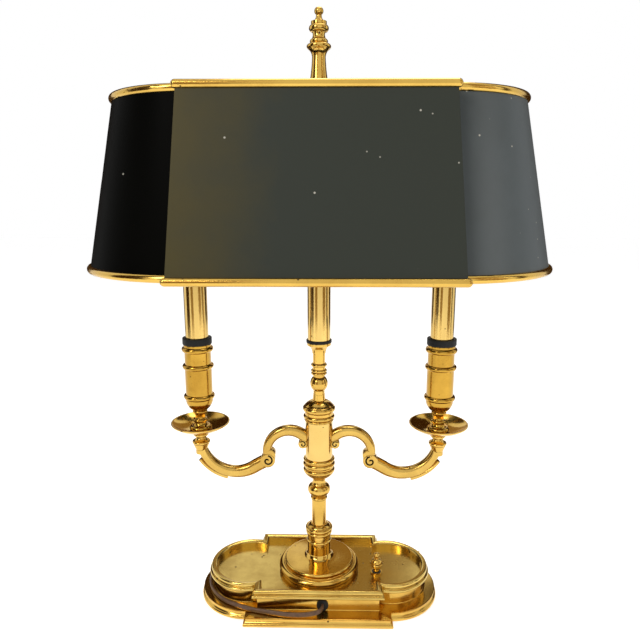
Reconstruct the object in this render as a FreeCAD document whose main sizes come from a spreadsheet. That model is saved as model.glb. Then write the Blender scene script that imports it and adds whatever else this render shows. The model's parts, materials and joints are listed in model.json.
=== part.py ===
import FreeCAD, Part
import math
import os
import types

import Sketcher
from FreeCAD import Placement, Rotation, Vector

# Bouillotte lamp, in millimetres. +Z is up, the lamp stands on Z = 0, the column is the Z axis,
# X runs along the two arms and -Y faces the viewer.

doc = FreeCAD.newDocument("bouillotte_lamp")
sheet = doc.addObject("Spreadsheet::Sheet", "Sizes")
made = []


class Size:
    """A length: its value in millimetres and the sheet formula behind it."""

    def __init__(self, value, formula):
        self.value = float(value)
        self.formula = formula

    def joined(self, sign, other, value):
        return Size(value, "(" + self.formula + " " + sign + " " + other.formula + ")")

    def __add__(self, other):
        other = as_size(other)
        return self.joined("+", other, self.value + other.value)

    def __sub__(self, other):
        other = as_size(other)
        return self.joined("-", other, self.value - other.value)

    def __mul__(self, other):
        other = as_size(other)
        return self.joined("*", other, self.value * other.value)

    def __truediv__(self, other):
        other = as_size(other)
        return self.joined("/", other, self.value / other.value)

    def __neg__(self):
        return as_size(0) - self

    def __float__(self):
        return self.value

    def root(self):
        return Size(math.sqrt(self.value), "sqrt(" + self.formula + ")")


def as_size(number):
    """A plain number as a Size, so that both can be mixed in a sum."""
    if isinstance(number, Size):
        return number
    return Size(number, format(number, "g"))


SIZES = {
    # Fits between pieces
    "running_fit": 0.05,
    "loose_fit": 0.3,
    "seat_gap": 0.3,
    # Base outline: a block with a round lobe at each end, measured at the rim of the tray
    "block_half_length": 70,
    "block_half_depth": 57.5,
    "lobe_radius": 45.8,
    "lobe_centre": 78,
    # Base section, as steps outwards from the rim and as heights
    "plinth_lift": 0.8,
    "plinth_reach": 9,
    "plinth_bead_height": 4.6,
    "plinth_bead_bulge": 1.6,
    "plinth_fillet": 1.2,
    "plinth_height": 10.8,
    "ledge_height": 12.4,
    "frieze_setback": 5,
    "frieze_height": 14.4,
    "plinth_wall": 2.6,
    "tray_floor_thickness": 2.2,
    "rim_height": 7.8,
    "rim_inset": 8,
    "rim_bead_height": 3.6,
    "rim_bead_bulge": 1.4,
    "rim_crest_bulge": 1.2,
    # Under the base
    "felt_thickness": 2,
    "plate_thickness": 1.2,
    "plate_inset": 1,
    "lug_radius": 4,
    "lug_spacing_x": 110,
    "lug_spacing_y": 115,
    "screw_radius": 1.6,
    "screw_head_radius": 3.2,
    "screw_head_height": 1.6,
    "screw_length": 5,
    "weight_length": 92,
    "weight_depth": 72,
    "weight_height": 12,
    # Centre pipe and the rod that carries the shade
    "pipe_radius": 4.85,
    "pipe_bore": 3.2,
    "pipe_nut_width": 18,
    "pipe_nut_height": 3.4,
    "pipe_tail": 2,
    "pipe_top_stand": 18,
    "rod_radius": 3.2,
    "rod_rise": 218.7,
    "coupling_radius": 7.5,
    "coupling_height": 26,
    "rod_in_finial": 26,
    "seat_radius": 7,
    "seat_height": 6,
    # Candle tubes
    "tube_radius": 12,
    "tube_wall": 0.8,
    "tube_length": 115,
    "centre_tube_length": 106,
    "tube_seat_depth": 7,
    "tube_cap_height": 2.4,
    "tube_cap_spigot": 6,
    # Side lights
    "arm_reach": 129,
    "stud_radius": 3.2,
    "stud_bore": 1.9,
    "socket_radius": 9.6,
    "socket_bore": 6.4,
    "socket_height": 46,
    "socket_floor": 20,
    "bulb_base_radius": 6,
    "bulb_base_height": 25.6,
    "bulb_radius": 16,
    "bulb_height": 72,
    "bulb_neck_radius": 8,
    # Scroll arms
    "arm_root_height": 26,
    "arch_radius": 24.4,
    "arch_offset": 32.5,
    "arch_drop": 20,
    "arch_root_width": 13.4,
    "arch_end_width": 9.6,
    "sweep_radius": 37.5,
    "sweep_start_width": 14.6,
    "sweep_end_width": 10.2,
    "arm_depth": 11,
    "upper_volute_radius": 5,
    "lower_volute_radius": 8.2,
    "volute_depth": 12,
    "heel_radius": 6,
    "spur_thickness": 4.6,
    "spur_depth": 8,
    "arm_end_radius": 6.2,
    "arm_end_height": 5,
    "arm_screw_radius": 2,
    "arm_screw_length": 12,
    "arm_screw_head_height": 2,
    "barrel_wall": 2.4,
    # Drip pans
    "pan_radius": 31.4,
    "pan_floor_radius": 12,
    "pan_rise": 9.0,
    "pan_wall": 1.2,
    # Shade: centre panels with a step back to two round ends; sizes at the two trims
    "shade_top_drop": 2.6,
    "shade_height": 157.5,
    "shade_sheet": 1,
    "panel_top_half_length": 114.3,
    "panel_low_half_length": 123,
    "panel_top_half_depth": 105.1,
    "panel_low_half_depth": 135.1,
    "shade_step": 17.4,
    "shade_end_centre": 110,
    "bead_radius": 3.7,
    "spider_width": 7,
    "spider_thickness": 2.6,
    "hub_radius": 14,
    "hub_height": 4,
    # Switch
    "switch_place_x": 64.5,
    "switch_place_y": -10,
    "switch_body_radius": 12,
    "switch_body_height": 13,
    "switch_bush_radius": 4.8,
    "switch_shaft_radius": 2.4,
    "switch_nut_radius": 6.6,
    "switch_nut_height": 2,
    "knob_shaft_depth": 14,
    # Cord: flat, lying on its edge
    "cord_width": 5.2,
    "cord_thickness": 2.7,
    "cord_exit_x": 4.7,
    "cord_exit_height": 19,
    "grommet_radius": 6.2,
    "grommet_flange": 1.6,
    "turn_gap": 0.45,
    "hank_half_run": 50,
    "hank_inner_radius": 10.6,
    "hank_waist": 4,
    "hank_lift": 0.5,
    "tie_width": 8,
    "tie_thickness": 0.3,
    "plug_length": 22,
    "plug_width": 17,
    "plug_thickness": 10,
    "plug_turn": 20,
    "blade_length": 16,
    "blade_width": 6.3,
    "blade_thickness": 1.5,
    "blade_spacing": 12.7,
    # Foot dome, bottom to top
    "foot_dome_plinth_height": 1.4,
    "foot_dome_plinth_radius": 43.2,
    "foot_dome_torus_height": 8.4,
    "foot_dome_torus_radius": 44.8,
    "foot_dome_fillet_height": 1.3,
    "foot_dome_fillet_radius": 39.8,
    "foot_dome_ring_height": 3.4,
    "foot_dome_ring_radius": 38.4,
    "foot_dome_dish_height": 1.8,
    "foot_dome_dish_radius": 36.4,
    "foot_dome_dish_upper_radius": 17.0,
    # Foot collar, bottom to top
    "foot_collar_flare_height": 4.5,
    "foot_collar_flare_radius": 16.4,
    "foot_collar_flare_upper_radius": 12.9,
    "foot_collar_drum_height": 12.9,
    "foot_collar_drum_radius": 12.7,
    "foot_collar_low_ring_height": 3.8,
    "foot_collar_low_ring_radius": 13.8,
    "foot_collar_groove_height": 2.2,
    "foot_collar_groove_radius": 12.2,
    "foot_collar_band_height": 3.6,
    "foot_collar_band_radius": 12.8,
    "foot_collar_mid_ring_height": 4.8,
    "foot_collar_mid_ring_radius": 14.5,
    "foot_collar_top_ring_height": 4.4,
    "foot_collar_top_ring_radius": 15.2,
    "foot_collar_cap_height": 3.0,
    "foot_collar_cap_radius": 12.4,
    "foot_collar_cap_upper_radius": 8.6,
    # Lower stem, bottom to top
    "lower_stem_shaft_height": 29.8,
    "lower_stem_shaft_radius": 8.1,
    "lower_stem_lip_height": 3.2,
    "lower_stem_lip_radius": 9.3,
    # Stem knop, bottom to top
    "stem_knop_throat_height": 2.2,
    "stem_knop_throat_radius": 8.0,
    "stem_knop_throat_upper_radius": 8.8,
    "stem_knop_knop_height": 12.4,
    "stem_knop_knop_radius": 12.5,
    "stem_knop_knop_upper_radius": 9.0,
    "stem_knop_waist_height": 5.4,
    "stem_knop_waist_radius": 8.8,
    "stem_knop_waist_upper_radius": 7.2,
    "stem_knop_flare_height": 4.4,
    "stem_knop_flare_radius": 7.4,
    "stem_knop_flare_upper_radius": 10.2,
    # Barrel foot, bottom to top
    "barrel_foot_cup_height": 5.0,
    "barrel_foot_cup_radius": 10.6,
    "barrel_foot_cup_upper_radius": 16.2,
    "barrel_foot_low_ring_height": 5.6,
    "barrel_foot_low_ring_radius": 17.4,
    "barrel_foot_low_groove_height": 1.2,
    "barrel_foot_low_groove_radius": 15.9,
    "barrel_foot_mid_ring_height": 5.6,
    "barrel_foot_mid_ring_radius": 17.6,
    "barrel_foot_top_groove_height": 1.0,
    "barrel_foot_top_groove_radius": 15.9,
    "barrel_foot_top_ring_height": 3.4,
    "barrel_foot_top_ring_radius": 17.3,
    # Barrel cap, bottom to top
    "barrel_cap_low_ring_height": 2.6,
    "barrel_cap_low_ring_radius": 16.0,
    "barrel_cap_mid_ring_height": 4.8,
    "barrel_cap_mid_ring_radius": 17.0,
    "barrel_cap_groove_height": 3.0,
    "barrel_cap_groove_radius": 15.4,
    "barrel_cap_top_ring_height": 7.0,
    "barrel_cap_top_ring_radius": 17.6,
    "barrel_cap_shoulder_height": 5.6,
    "barrel_cap_shoulder_radius": 15.6,
    "barrel_cap_shoulder_upper_radius": 6.9,
    # Spindle, bottom to top
    "spindle_root_height": 7.0,
    "spindle_root_radius": 6.8,
    "spindle_root_upper_radius": 6.3,
    "spindle_neck_height": 4.0,
    "spindle_neck_radius": 6.1,
    "spindle_bulb_height": 15.4,
    "spindle_bulb_radius": 9.5,
    "spindle_bulb_upper_radius": 6.2,
    "spindle_throat_height": 2.0,
    "spindle_throat_radius": 6.3,
    "spindle_low_ring_height": 3.1,
    "spindle_low_ring_radius": 8.5,
    "spindle_mid_ring_height": 3.1,
    "spindle_mid_ring_radius": 8.5,
    "spindle_groove_height": 2.8,
    "spindle_groove_radius": 6.8,
    "spindle_top_ring_height": 3.6,
    "spindle_top_ring_radius": 8.5,
    # Centre cup, bottom to top
    "centre_cup_neck_height": 11.0,
    "centre_cup_neck_radius": 6.5,
    "centre_cup_bell_height": 8.8,
    "centre_cup_bell_radius": 7.2,
    "centre_cup_bell_upper_radius": 12.0,
    "centre_cup_rim_height": 3.0,
    "centre_cup_rim_radius": 12.7,
    # Finial cone, bottom to top
    "finial_cone_foot_height": 2.7,
    "finial_cone_foot_radius": 13.2,
    "finial_cone_cone_height": 37.2,
    "finial_cone_cone_radius": 12.0,
    "finial_cone_cone_upper_radius": 6.6,
    "finial_cone_flare_height": 6.2,
    "finial_cone_flare_radius": 6.8,
    "finial_cone_flare_upper_radius": 10.6,
    "finial_cone_flange_height": 4.4,
    "finial_cone_flange_radius": 11.8,
    # Finial knob, bottom to top
    "finial_knob_collar_height": 4.6,
    "finial_knob_collar_radius": 8.8,
    "finial_knob_waist_height": 6.2,
    "finial_knob_waist_radius": 7.2,
    "finial_knob_waist_upper_radius": 6.4,
    "finial_knob_torus_height": 6.4,
    "finial_knob_torus_radius": 9.6,
    "finial_knob_step_height": 3.0,
    "finial_knob_step_radius": 7.6,
    "finial_knob_neck_height": 5.4,
    "finial_knob_neck_radius": 5.4,
    "finial_knob_neck_upper_radius": 2.8,
    "finial_knob_ball_height": 7.4,
    "finial_knob_ball_radius": 4.4,
    "finial_knob_ball_upper_radius": 1.6,
    # Pan knop, bottom to top
    "pan_knop_root_height": 6.6,
    "pan_knop_root_radius": 6.4,
    "pan_knop_root_upper_radius": 9.0,
    "pan_knop_belly_height": 3.6,
    "pan_knop_belly_radius": 9.7,
    "pan_knop_neck_height": 5.0,
    "pan_knop_neck_radius": 8.0,
    "pan_knop_neck_upper_radius": 5.0,
    "pan_knop_ring_height": 3.8,
    "pan_knop_ring_radius": 8.2,
    "pan_knop_seat_height": 2.4,
    "pan_knop_seat_radius": 6.6,
    # Candle cup, bottom to top
    "candle_cup_boss_height": 5.2,
    "candle_cup_boss_radius": 11.9,
    "candle_cup_dip_height": 4.0,
    "candle_cup_dip_radius": 8.4,
    "candle_cup_dip_upper_radius": 5.8,
    "candle_cup_spool_height": 3.8,
    "candle_cup_spool_radius": 8.0,
    "candle_cup_stem_height": 6.2,
    "candle_cup_stem_radius": 5.8,
    "candle_cup_stem_upper_radius": 6.8,
    "candle_cup_collar_height": 3.6,
    "candle_cup_collar_radius": 8.0,
    "candle_cup_bell_height": 12.6,
    "candle_cup_bell_radius": 7.4,
    "candle_cup_bell_upper_radius": 14.6,
    "candle_cup_low_ridge_height": 5.6,
    "candle_cup_low_ridge_radius": 16.5,
    "candle_cup_body_height": 28.0,
    "candle_cup_body_radius": 14.2,
    "candle_cup_mid_ridge_height": 5.4,
    "candle_cup_mid_ridge_radius": 16.5,
    "candle_cup_waist_height": 13.0,
    "candle_cup_waist_radius": 13.9,
    "candle_cup_top_ridge_height": 6.0,
    "candle_cup_top_ridge_radius": 16.6,
    "candle_cup_lip_height": 2.4,
    "candle_cup_lip_radius": 14.6,
    # Switch knob, bottom to top
    "switch_knob_stem_height": 3.2,
    "switch_knob_stem_radius": 3.4,
    "switch_knob_low_body_height": 4.2,
    "switch_knob_low_body_radius": 3.6,
    "switch_knob_low_body_upper_radius": 6.2,
    "switch_knob_girdle_height": 2.6,
    "switch_knob_girdle_radius": 7.2,
    "switch_knob_body_height": 5.0,
    "switch_knob_body_radius": 6.2,
    "switch_knob_body_upper_radius": 3.4,
    "switch_knob_neck_height": 1.2,
    "switch_knob_neck_radius": 2.4,
    "switch_knob_ball_height": 5.6,
    "switch_knob_ball_radius": 3.2,
    "switch_knob_ball_upper_radius": 1.2,
    # Other pieces
    "barrel_height": 42.5,
    "barrel_radius": 14.9,
    "washer_height": 1.2,
    "arm_end_rise": 2.6,
    "gasket_height": 7.2,
    "gasket_radius": 15.4,
    "bulb_tip_radius": 3,
    "centre_gasket_height": 3,
    "centre_gasket_radius": 13.4,
    "rod_bore": 1.2,
    "washer_radius": 15.2,
}

size = types.SimpleNamespace()
for row, (name, value) in enumerate(SIZES.items(), 1):
    sheet.set("A" + str(row), name)
    sheet.set("B" + str(row), format(value, "g"))
    sheet.setAlias("B" + str(row), name)
    setattr(size, name, Size(value, "Sizes." + name))

ZERO = as_size(0)


# Sketches

def chord_radius(across, along, bulge):
    """Radius of the arc over a chord with the given run and rise that bulges out by bulge."""
    chord_squared = across * across + along * along
    return (chord_squared / 4 + bulge * bulge) / (bulge * 2)


def arc_shape(start, end, radius, bulges_right):
    """The arc of less than half a turn between two points, always counter-clockwise."""
    middle = (start + end) * 0.5
    chord = end - start
    rise = math.sqrt(max(radius ** 2 - (chord.Length / 2) ** 2, 0))
    left = Vector(-chord.y, chord.x, 0).normalize()
    centre = middle + left * rise if bulges_right else middle - left * rise
    first, last = (start, end) if bulges_right else (end, start)
    first_angle = math.atan2(first.y - centre.y, first.x - centre.x)
    last_angle = math.atan2(last.y - centre.y, last.x - centre.x)
    circle = Part.Circle(centre, Vector(0, 0, 1), radius)
    return Part.ArcOfCircle(circle, first_angle, last_angle)


def pin_to(sketch, edge, end, across, up):
    """Place one end of an edge by its two coordinates from the sketch's origin."""
    for kind, axis, length in (("DistanceX", -2, across), ("DistanceY", -1, up)):
        if length is ZERO:
            sketch.addConstraint(Sketcher.Constraint("PointOnObject", edge, end, axis))
            continue
        number = sketch.addConstraint(Sketcher.Constraint(kind, -1, 1, edge, end, length.value))
        sketch.setExpression("Constraints[" + str(number) + "]", length.formula)


def same_place(one, other):
    """Whether two points of a sketch fall on each other."""
    return abs(one[0].value - other[0].value) + abs(one[1].value - other[1].value) < 0.001


def fill_sketch(sketch, points):
    """Close a sketch through (across, up) points; (radius, right) after them makes an arc to the next."""
    points = [point for point, following in zip(points, points[1:] + points[:1])
              if not same_place(point, following)]
    ends = []
    for place, point in enumerate(points):
        following = points[(place + 1) % len(points)]
        start = Vector(point[0].value, point[1].value, 0)
        end = Vector(following[0].value, following[1].value, 0)
        if len(point) == 2:
            edge = sketch.addGeometry(Part.LineSegment(start, end))
            ends.append((edge, 1, 2))
            continue
        radius, bulges_right = point[2], point[3]
        edge = sketch.addGeometry(arc_shape(start, end, radius.value, bulges_right))
        ends.append((edge, 1, 2) if bulges_right else (edge, 2, 1))
        number = sketch.addConstraint(Sketcher.Constraint("Radius", edge, radius.value))
        sketch.setExpression("Constraints[" + str(number) + "]", radius.formula)
    for place, (edge, start_end, far_end) in enumerate(ends):
        next_edge, next_start, next_far = ends[(place + 1) % len(ends)]
        sketch.addConstraint(Sketcher.Constraint("Coincident", edge, far_end, next_edge, next_start))
        pin_to(sketch, edge, start_end, points[place][0], points[place][1])


def body_sketch(body, name, role, points, lift=None):
    """A sketch on one of the body's own origin planes, lifted along its normal by lift."""
    sketch = body.newObject("Sketcher::SketchObject", name)
    plane = [part for part in body.Origin.OriginFeatures if part.Role == role][0]
    sketch.AttachmentSupport = (plane, [""])
    sketch.MapMode = "FlatFace"
    if lift is not None:
        sketch.setExpression("AttachmentOffset.Base.z", lift.formula)
    fill_sketch(sketch, points)
    return sketch


def place_at(thing, x=None, y=None, z=None):
    """Bind a piece's place to the sheet."""
    for axis, length in (("x", x), ("y", y), ("z", z)):
        if length is not None:
            thing.setExpression("Placement.Base." + axis, length.formula)
    return thing


def keep(thing, label):
    """Name a finished piece and list it for the export."""
    thing.Label = label
    made.append(thing)
    return thing


# Turned pieces

def stacked(label, low, bands):
    """Outer points of a turned piece from its bands, bottom to top, and the height of its top.

    A band is its name and form; its height, radius and, for some forms, upper radius are in SIZES.
    """
    points = []
    height = low
    for name, form in bands:
        tall = getattr(size, label + "_" + name + "_height")
        radius = getattr(size, label + "_" + name + "_radius")
        top = height + tall
        if form == "straight":
            points += [(radius, height), (radius, top)]
        if form == "bead":
            bulge = tall * 0.38
            edge = radius - bulge
            points += [(edge, height, chord_radius(ZERO, tall, bulge), True), (edge, top)]
        if form in ("taper", "slope", "swell", "cove", "belly"):
            upper = getattr(size, label + "_" + name + "_upper_radius")
        if form == "taper":
            points += [(radius, height), (upper, top)]
        if form == "belly":
            edge = upper
            arc = chord_radius(ZERO, tall, radius - edge)
            points += [(edge, height, arc, True), (edge, top)]
        if form == "swell":
            points += [(radius, height, chord_radius(upper - radius, tall, tall * 0.16), True), (upper, top)]
        if form == "slope":
            points += [(radius, height, chord_radius(upper - radius, tall, tall * 0.03), False), (upper, top)]
        if form == "cove":
            points += [(radius, height, chord_radius(upper - radius, tall, tall * 0.14), False), (upper, top)]
        height = top
    return points, height


def turned(label, low, bands, bore=None, x=None, y=None, top_bore=None, inner=None):
    """A turned piece on its own axis, from its bands; gives the piece and the height of its top."""
    points, top = stacked(label, low, bands)
    if inner is not None:
        inside = inner(low, top)
    elif bore is None:
        inside = [(ZERO, top), (ZERO, low)]
    elif top_bore is not None:
        radius, depth = top_bore
        inside = [(radius, top), (radius, top - depth), (bore, top - depth), (bore, low)]
    else:
        inside = [(bore, top), (bore, low)]
    return lathe(label, points + inside, x, y), top


def lathe(label, points, x=None, y=None):
    """A solid of revolution about the Z axis of its own body."""
    body = doc.addObject("PartDesign::Body", label)
    turn = body.newObject("PartDesign::Revolution", label + "_turn")
    turn.Profile = body_sketch(body, label + "_profile", "XZ_Plane", points)
    turn.ReferenceAxis = (turn.Profile[0], ["V_Axis"])
    turn.Angle = 360
    body.Tip = turn
    place_at(body, x, y)
    return keep(body, label)


def ring(label, low, height, radius, bore, x=None, y=None):
    """A plain turned ring or tube."""
    top = low + height
    return lathe(label, [(radius, low), (radius, top), (bore, top), (bore, low)], x, y)


# Base

def mirrored(points):
    """Right-hand points of a section, bottom to top, followed by their mirror image."""
    left = []
    for place in range(len(points) - 1, -1, -1):
        across, up = points[place][0], points[place][1]
        before = points[place - 1] if place > 0 else ()
        if len(before) == 4:
            left.append((-across, up, before[2], before[3]))
        else:
            left.append((-across, up))
    return points + left


def free_sketch(name, points, rotation):
    """A sketch that stands by itself in an upright plane."""
    sketch = doc.addObject("Sketcher::SketchObject", name)
    fill_sketch(sketch, points)
    sketch.Placement = Placement(Vector(0, 0, 0), rotation)
    return sketch


def shifted(section, half):
    """Section points moved out by half, so that they are distances from the middle."""
    return [(half + point[0], *point[1:]) for point in section]


def moulded(name, section):
    """A solid with the base's outline whose side follows a section of (step outwards, height) points.

    The block is the common part of one length with the section on its two long sides and one with it
    on its ends, so its corners are mitred. The lobes are a third length and two turnings.
    """
    across_x = Rotation(Vector(1, 0, 0), Vector(0, 0, 1), Vector(0, -1, 0), "XYZ")
    across_y = Rotation(Vector(0, 1, 0), Vector(0, 0, 1), Vector(1, 0, 0), "XYZ")
    lengths = []
    for part, half, rotation, reach in (
            ("long", size.block_half_depth, across_y, size.block_half_length * 3),
            ("end", size.block_half_length, across_x, size.block_half_depth * 4),
            ("lobe", size.lobe_radius, across_y, size.lobe_centre * 2)):
        sketch = free_sketch(name + "_" + part + "_section", mirrored(shifted(section, half)), rotation)
        length = doc.addObject("Part::Extrusion", name + "_" + part)
        length.Base = sketch
        length.DirMode = "Normal"
        length.Solid = True
        length.Symmetric = True
        length.setExpression("LengthFwd", reach.formula)
        lengths.append(length)
    block = doc.addObject("Part::Common", name + "_block")
    block.Base = lengths[0]
    block.Tool = lengths[1]
    pieces = [block, lengths[2]]
    round_points = shifted(section, size.lobe_radius)
    round_points += [(ZERO, section[-1][1]), (ZERO, section[0][1])]
    for side, place, facing in (("left", -size.lobe_centre, 180), ("right", size.lobe_centre, 0)):
        sketch = free_sketch(name + "_" + side + "_section", round_points, across_x)
        turn = doc.addObject("Part::Revolution", name + "_" + side)
        turn.Source = sketch
        turn.Axis = Vector(0, 0, 1)
        turn.Angle = 180
        turn.Symmetric = True
        turn.Solid = True
        turn.Placement.Rotation = Rotation(Vector(0, 0, 1), facing)
        pieces.append(place_at(turn, x=place))
    whole = doc.addObject("Part::MultiFuse", name + "_whole")
    whole.Shapes = pieces
    whole.Refine = True
    return whole


def cylinder(name, radius, height, x=None, y=None, z=None):
    """A plain upright cylinder for a hole or a post."""
    solid = doc.addObject("Part::Cylinder", name)
    solid.setExpression("Radius", radius.formula)
    solid.setExpression("Height", height.formula)
    return place_at(solid, x, y, z)


def joined(kind, name, shapes):
    """A boolean of several shapes; a cut takes all the later ones from the first."""
    if kind == "Cut":
        tools = shapes[1] if len(shapes) == 2 else joined("MultiFuse", name + "_tools", shapes[1:])
        result = doc.addObject("Part::Cut", name)
        result.Base = shapes[0]
        result.Tool = tools
        return result
    result = doc.addObject("Part::" + kind, name)
    result.Shapes = shapes
    return result


frieze_foot = size.ledge_height
tray_under = frieze_foot + size.frieze_height
tray_floor = tray_under + size.tray_floor_thickness
rim_top = tray_floor + size.rim_height
lugs = [(side_x, side_y) for side_x in (-1, 1) for side_y in (-1, 1)]


def lug_place(side_x, side_y):
    return size.lug_spacing_x * (side_x / 2), size.lug_spacing_y * (side_y / 2)


def make_plinth():
    """The lower casting: bead, plinth, sloping ledge and frieze, hollow inside, with four screw lugs."""
    bead_edge = size.plinth_reach - size.plinth_bead_bulge
    bead_top = size.plinth_lift + size.plinth_bead_height
    bead_arc = chord_radius(ZERO, size.plinth_bead_height, size.plinth_bead_bulge)
    face = bead_edge - size.plinth_fillet
    outer = moulded("plinth_outer", [
        (bead_edge, size.plinth_lift, bead_arc, True),
        (bead_edge, bead_top),
        (face, bead_top + size.plinth_fillet),
        (face, size.plinth_height - size.plinth_fillet),
        (face + size.plinth_fillet, size.plinth_height),
        (-size.frieze_setback, size.ledge_height),
        (-size.frieze_setback, tray_under)])
    inside = face - size.plinth_wall
    inner = moulded("plinth_inner", [
        (inside, size.plinth_lift - 1),
        (inside, size.plinth_height - size.plinth_wall),
        (-size.frieze_setback - size.plinth_wall, size.ledge_height - size.plinth_wall),
        (-size.frieze_setback - size.plinth_wall, tray_under + 1)])
    shell = joined("Cut", "plinth_shell", [outer, inner])
    plate_top = size.felt_thickness + size.plate_thickness
    posts = []
    holes = []
    for number, (side_x, side_y) in enumerate(lugs):
        x, y = lug_place(side_x, side_y)
        tall = size.plinth_height - size.plinth_wall / 2 - plate_top
        posts.append(cylinder("lug" + str(number), size.lug_radius, tall, x, y, plate_top))
        holes.append(cylinder("lug_hole" + str(number), size.screw_radius + size.running_fit, size.screw_length + size.seat_gap,
                              x, y, plate_top - 0.1))
    cord_hole = cylinder("cord_hole", size.grommet_radius - size.grommet_flange + size.running_fit, size.frieze_setback * 4,
                         size.cord_exit_x, -(size.block_half_depth - size.frieze_setback) + size.frieze_setback * 2,
                         size.cord_exit_height)
    cord_hole.Placement.Rotation = Rotation(Vector(1, 0, 0), 90)
    solid = joined("MultiFuse", "plinth_solid", [shell] + posts)
    solid.Refine = True
    keep(joined("Cut", "base_plinth", [solid, cord_hole] + holes), "base_plinth")


def make_tray():
    """The tray: a floor with a raised rim of two beads that overhangs the frieze."""
    wall = -size.frieze_setback
    bead_low = tray_under + 1
    bead_top = bead_low + size.rim_bead_height
    bead_edge = -size.rim_bead_bulge
    step = bead_edge - 1
    crest_foot = bead_top + 1
    inner_edge = -size.rim_inset
    crest_arc = chord_radius(inner_edge + 0.8 - step, rim_top - crest_foot - 1.4, size.rim_crest_bulge)
    outer = moulded("tray_outer", [
        (wall, tray_under),
        (bead_edge, bead_low, chord_radius(ZERO, size.rim_bead_height, size.rim_bead_bulge), True),
        (bead_edge, bead_top),
        (step, bead_top),
        (step, crest_foot, chord_radius(-size.rim_crest_bulge, rim_top - crest_foot, size.rim_crest_bulge), True),
        (step - size.rim_crest_bulge, rim_top),
        (inner_edge + 1.6, rim_top - 0.6)])
    recess = moulded("tray_recess", [
        (inner_edge, tray_floor),
        (inner_edge, rim_top - 1.8),
        (inner_edge + 1.6, rim_top - 0.6),
        (inner_edge + 1.6, rim_top + 2)])
    tall = size.tray_floor_thickness + 2
    pipe_hole = cylinder("tray_pipe_hole", size.pipe_radius + size.running_fit, tall, None, None, tray_under - 1)
    bush_hole = cylinder("tray_switch_hole", size.switch_bush_radius + size.running_fit, tall,
                         size.switch_place_x, size.switch_place_y, tray_under - 1)
    keep(joined("Cut", "base_tray", [outer, recess, pipe_hole, bush_hole]), "base_tray")


def make_underside():
    """Weight, plate, felt and the four screws that hold the plate to the plinth's lugs."""
    inside = size.plinth_reach - size.plinth_bead_bulge - size.plinth_fillet - size.plinth_wall - size.plate_inset
    plate = moulded("plate_blank", [(inside, size.felt_thickness), (inside, size.felt_thickness + size.plate_thickness)])
    felt = moulded("felt_blank", [(inside, ZERO), (inside, size.felt_thickness)])
    screws = []
    plate_holes = []
    felt_holes = []
    for number, (side_x, side_y) in enumerate(lugs):
        x, y = lug_place(side_x, side_y)
        text = str(number)
        plate_holes.append(cylinder("plate_hole" + text, size.screw_radius + size.running_fit, size.plate_thickness + 1,
                                    x, y, size.felt_thickness - 0.5))
        felt_holes.append(cylinder("felt_hole" + text, size.screw_head_radius + size.loose_fit, size.felt_thickness + 1,
                                   x, y, as_size(-0.5)))
        shank = cylinder("screw_shank" + text, size.screw_radius, size.plate_thickness + size.screw_length,
                         x, y, size.felt_thickness)
        head = cylinder("screw_head" + text, size.screw_head_radius, size.screw_head_height,
                        x, y, size.felt_thickness - size.screw_head_height)
        screws.append(joined("MultiFuse", "screw" + text, [shank, head]))
    keep(joined("Cut", "bottom_plate", [plate] + plate_holes), "bottom_plate")
    keep(joined("Cut", "base_felt", [felt] + felt_holes), "base_felt")
    group = doc.addObject("Part::Compound", "base_screws")
    group.Links = screws
    keep(group, "base_screws")

    body = doc.addObject("PartDesign::Body", "base_weight")
    half_x = size.weight_length / 2
    half_y = size.weight_depth / 2
    pad = body.newObject("PartDesign::Pad", "weight_pad")
    pad.Profile = body_sketch(body, "weight_outline", "XY_Plane", [
        (-half_x, -half_y), (half_x, -half_y), (half_x, half_y), (-half_x, half_y)],
        tray_under - size.weight_height)
    pad.setExpression("Length", size.weight_height.formula)
    hole = body.newObject("Sketcher::SketchObject", "weight_hole")
    plane = [part for part in body.Origin.OriginFeatures if part.Role == "XY_Plane"][0]
    hole.AttachmentSupport = (plane, [""])
    hole.MapMode = "FlatFace"
    hole.addGeometry(Part.Circle(Vector(0, 0, 0), Vector(0, 0, 1), size.pipe_radius.value))
    hole.addConstraint(Sketcher.Constraint("Coincident", 0, 3, -1, 1))
    hole.addConstraint(Sketcher.Constraint("Radius", 0, size.pipe_radius.value))
    hole.setExpression("Constraints[1]", (size.pipe_radius + size.running_fit).formula)
    pocket = body.newObject("PartDesign::Pocket", "weight_pocket")
    pocket.Profile = hole
    pocket.Type = "ThroughAll"
    pocket.Midplane = True
    body.Tip = pocket
    keep(body, "base_weight")


make_plinth()
make_tray()
make_underside()

# Column, bottom to top, threaded on the pipe
pipe_hole_radius = size.pipe_radius + size.running_fit
foot, foot_top = turned("foot_dome", tray_floor, [
    ("plinth", "straight"),
    ("torus", "bead"),
    ("fillet", "straight"),
    ("ring", "bead"),
    ("dish", "cove")], pipe_hole_radius)
collar, collar_top = turned("foot_collar", foot_top, [
    ("flare", "cove"),
    ("drum", "straight"),
    ("low_ring", "bead"),
    ("groove", "straight"),
    ("band", "straight"),
    ("mid_ring", "bead"),
    ("top_ring", "bead"),
    ("cap", "swell")], pipe_hole_radius)
stem, stem_top = turned("lower_stem", collar_top, [
    ("shaft", "straight"),
    ("lip", "bead")], pipe_hole_radius)
knop, knop_top = turned("stem_knop", stem_top, [
    ("throat", "taper"),
    ("knop", "belly"),
    ("waist", "cove"),
    ("flare", "cove")], pipe_hole_radius)
barrel_base, barrel_low = turned("barrel_foot", knop_top, [
    ("cup", "swell"),
    ("low_ring", "bead"),
    ("low_groove", "straight"),
    ("mid_ring", "bead"),
    ("top_groove", "straight"),
    ("top_ring", "bead")], pipe_hole_radius)
barrel_top = barrel_low + size.barrel_height
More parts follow.
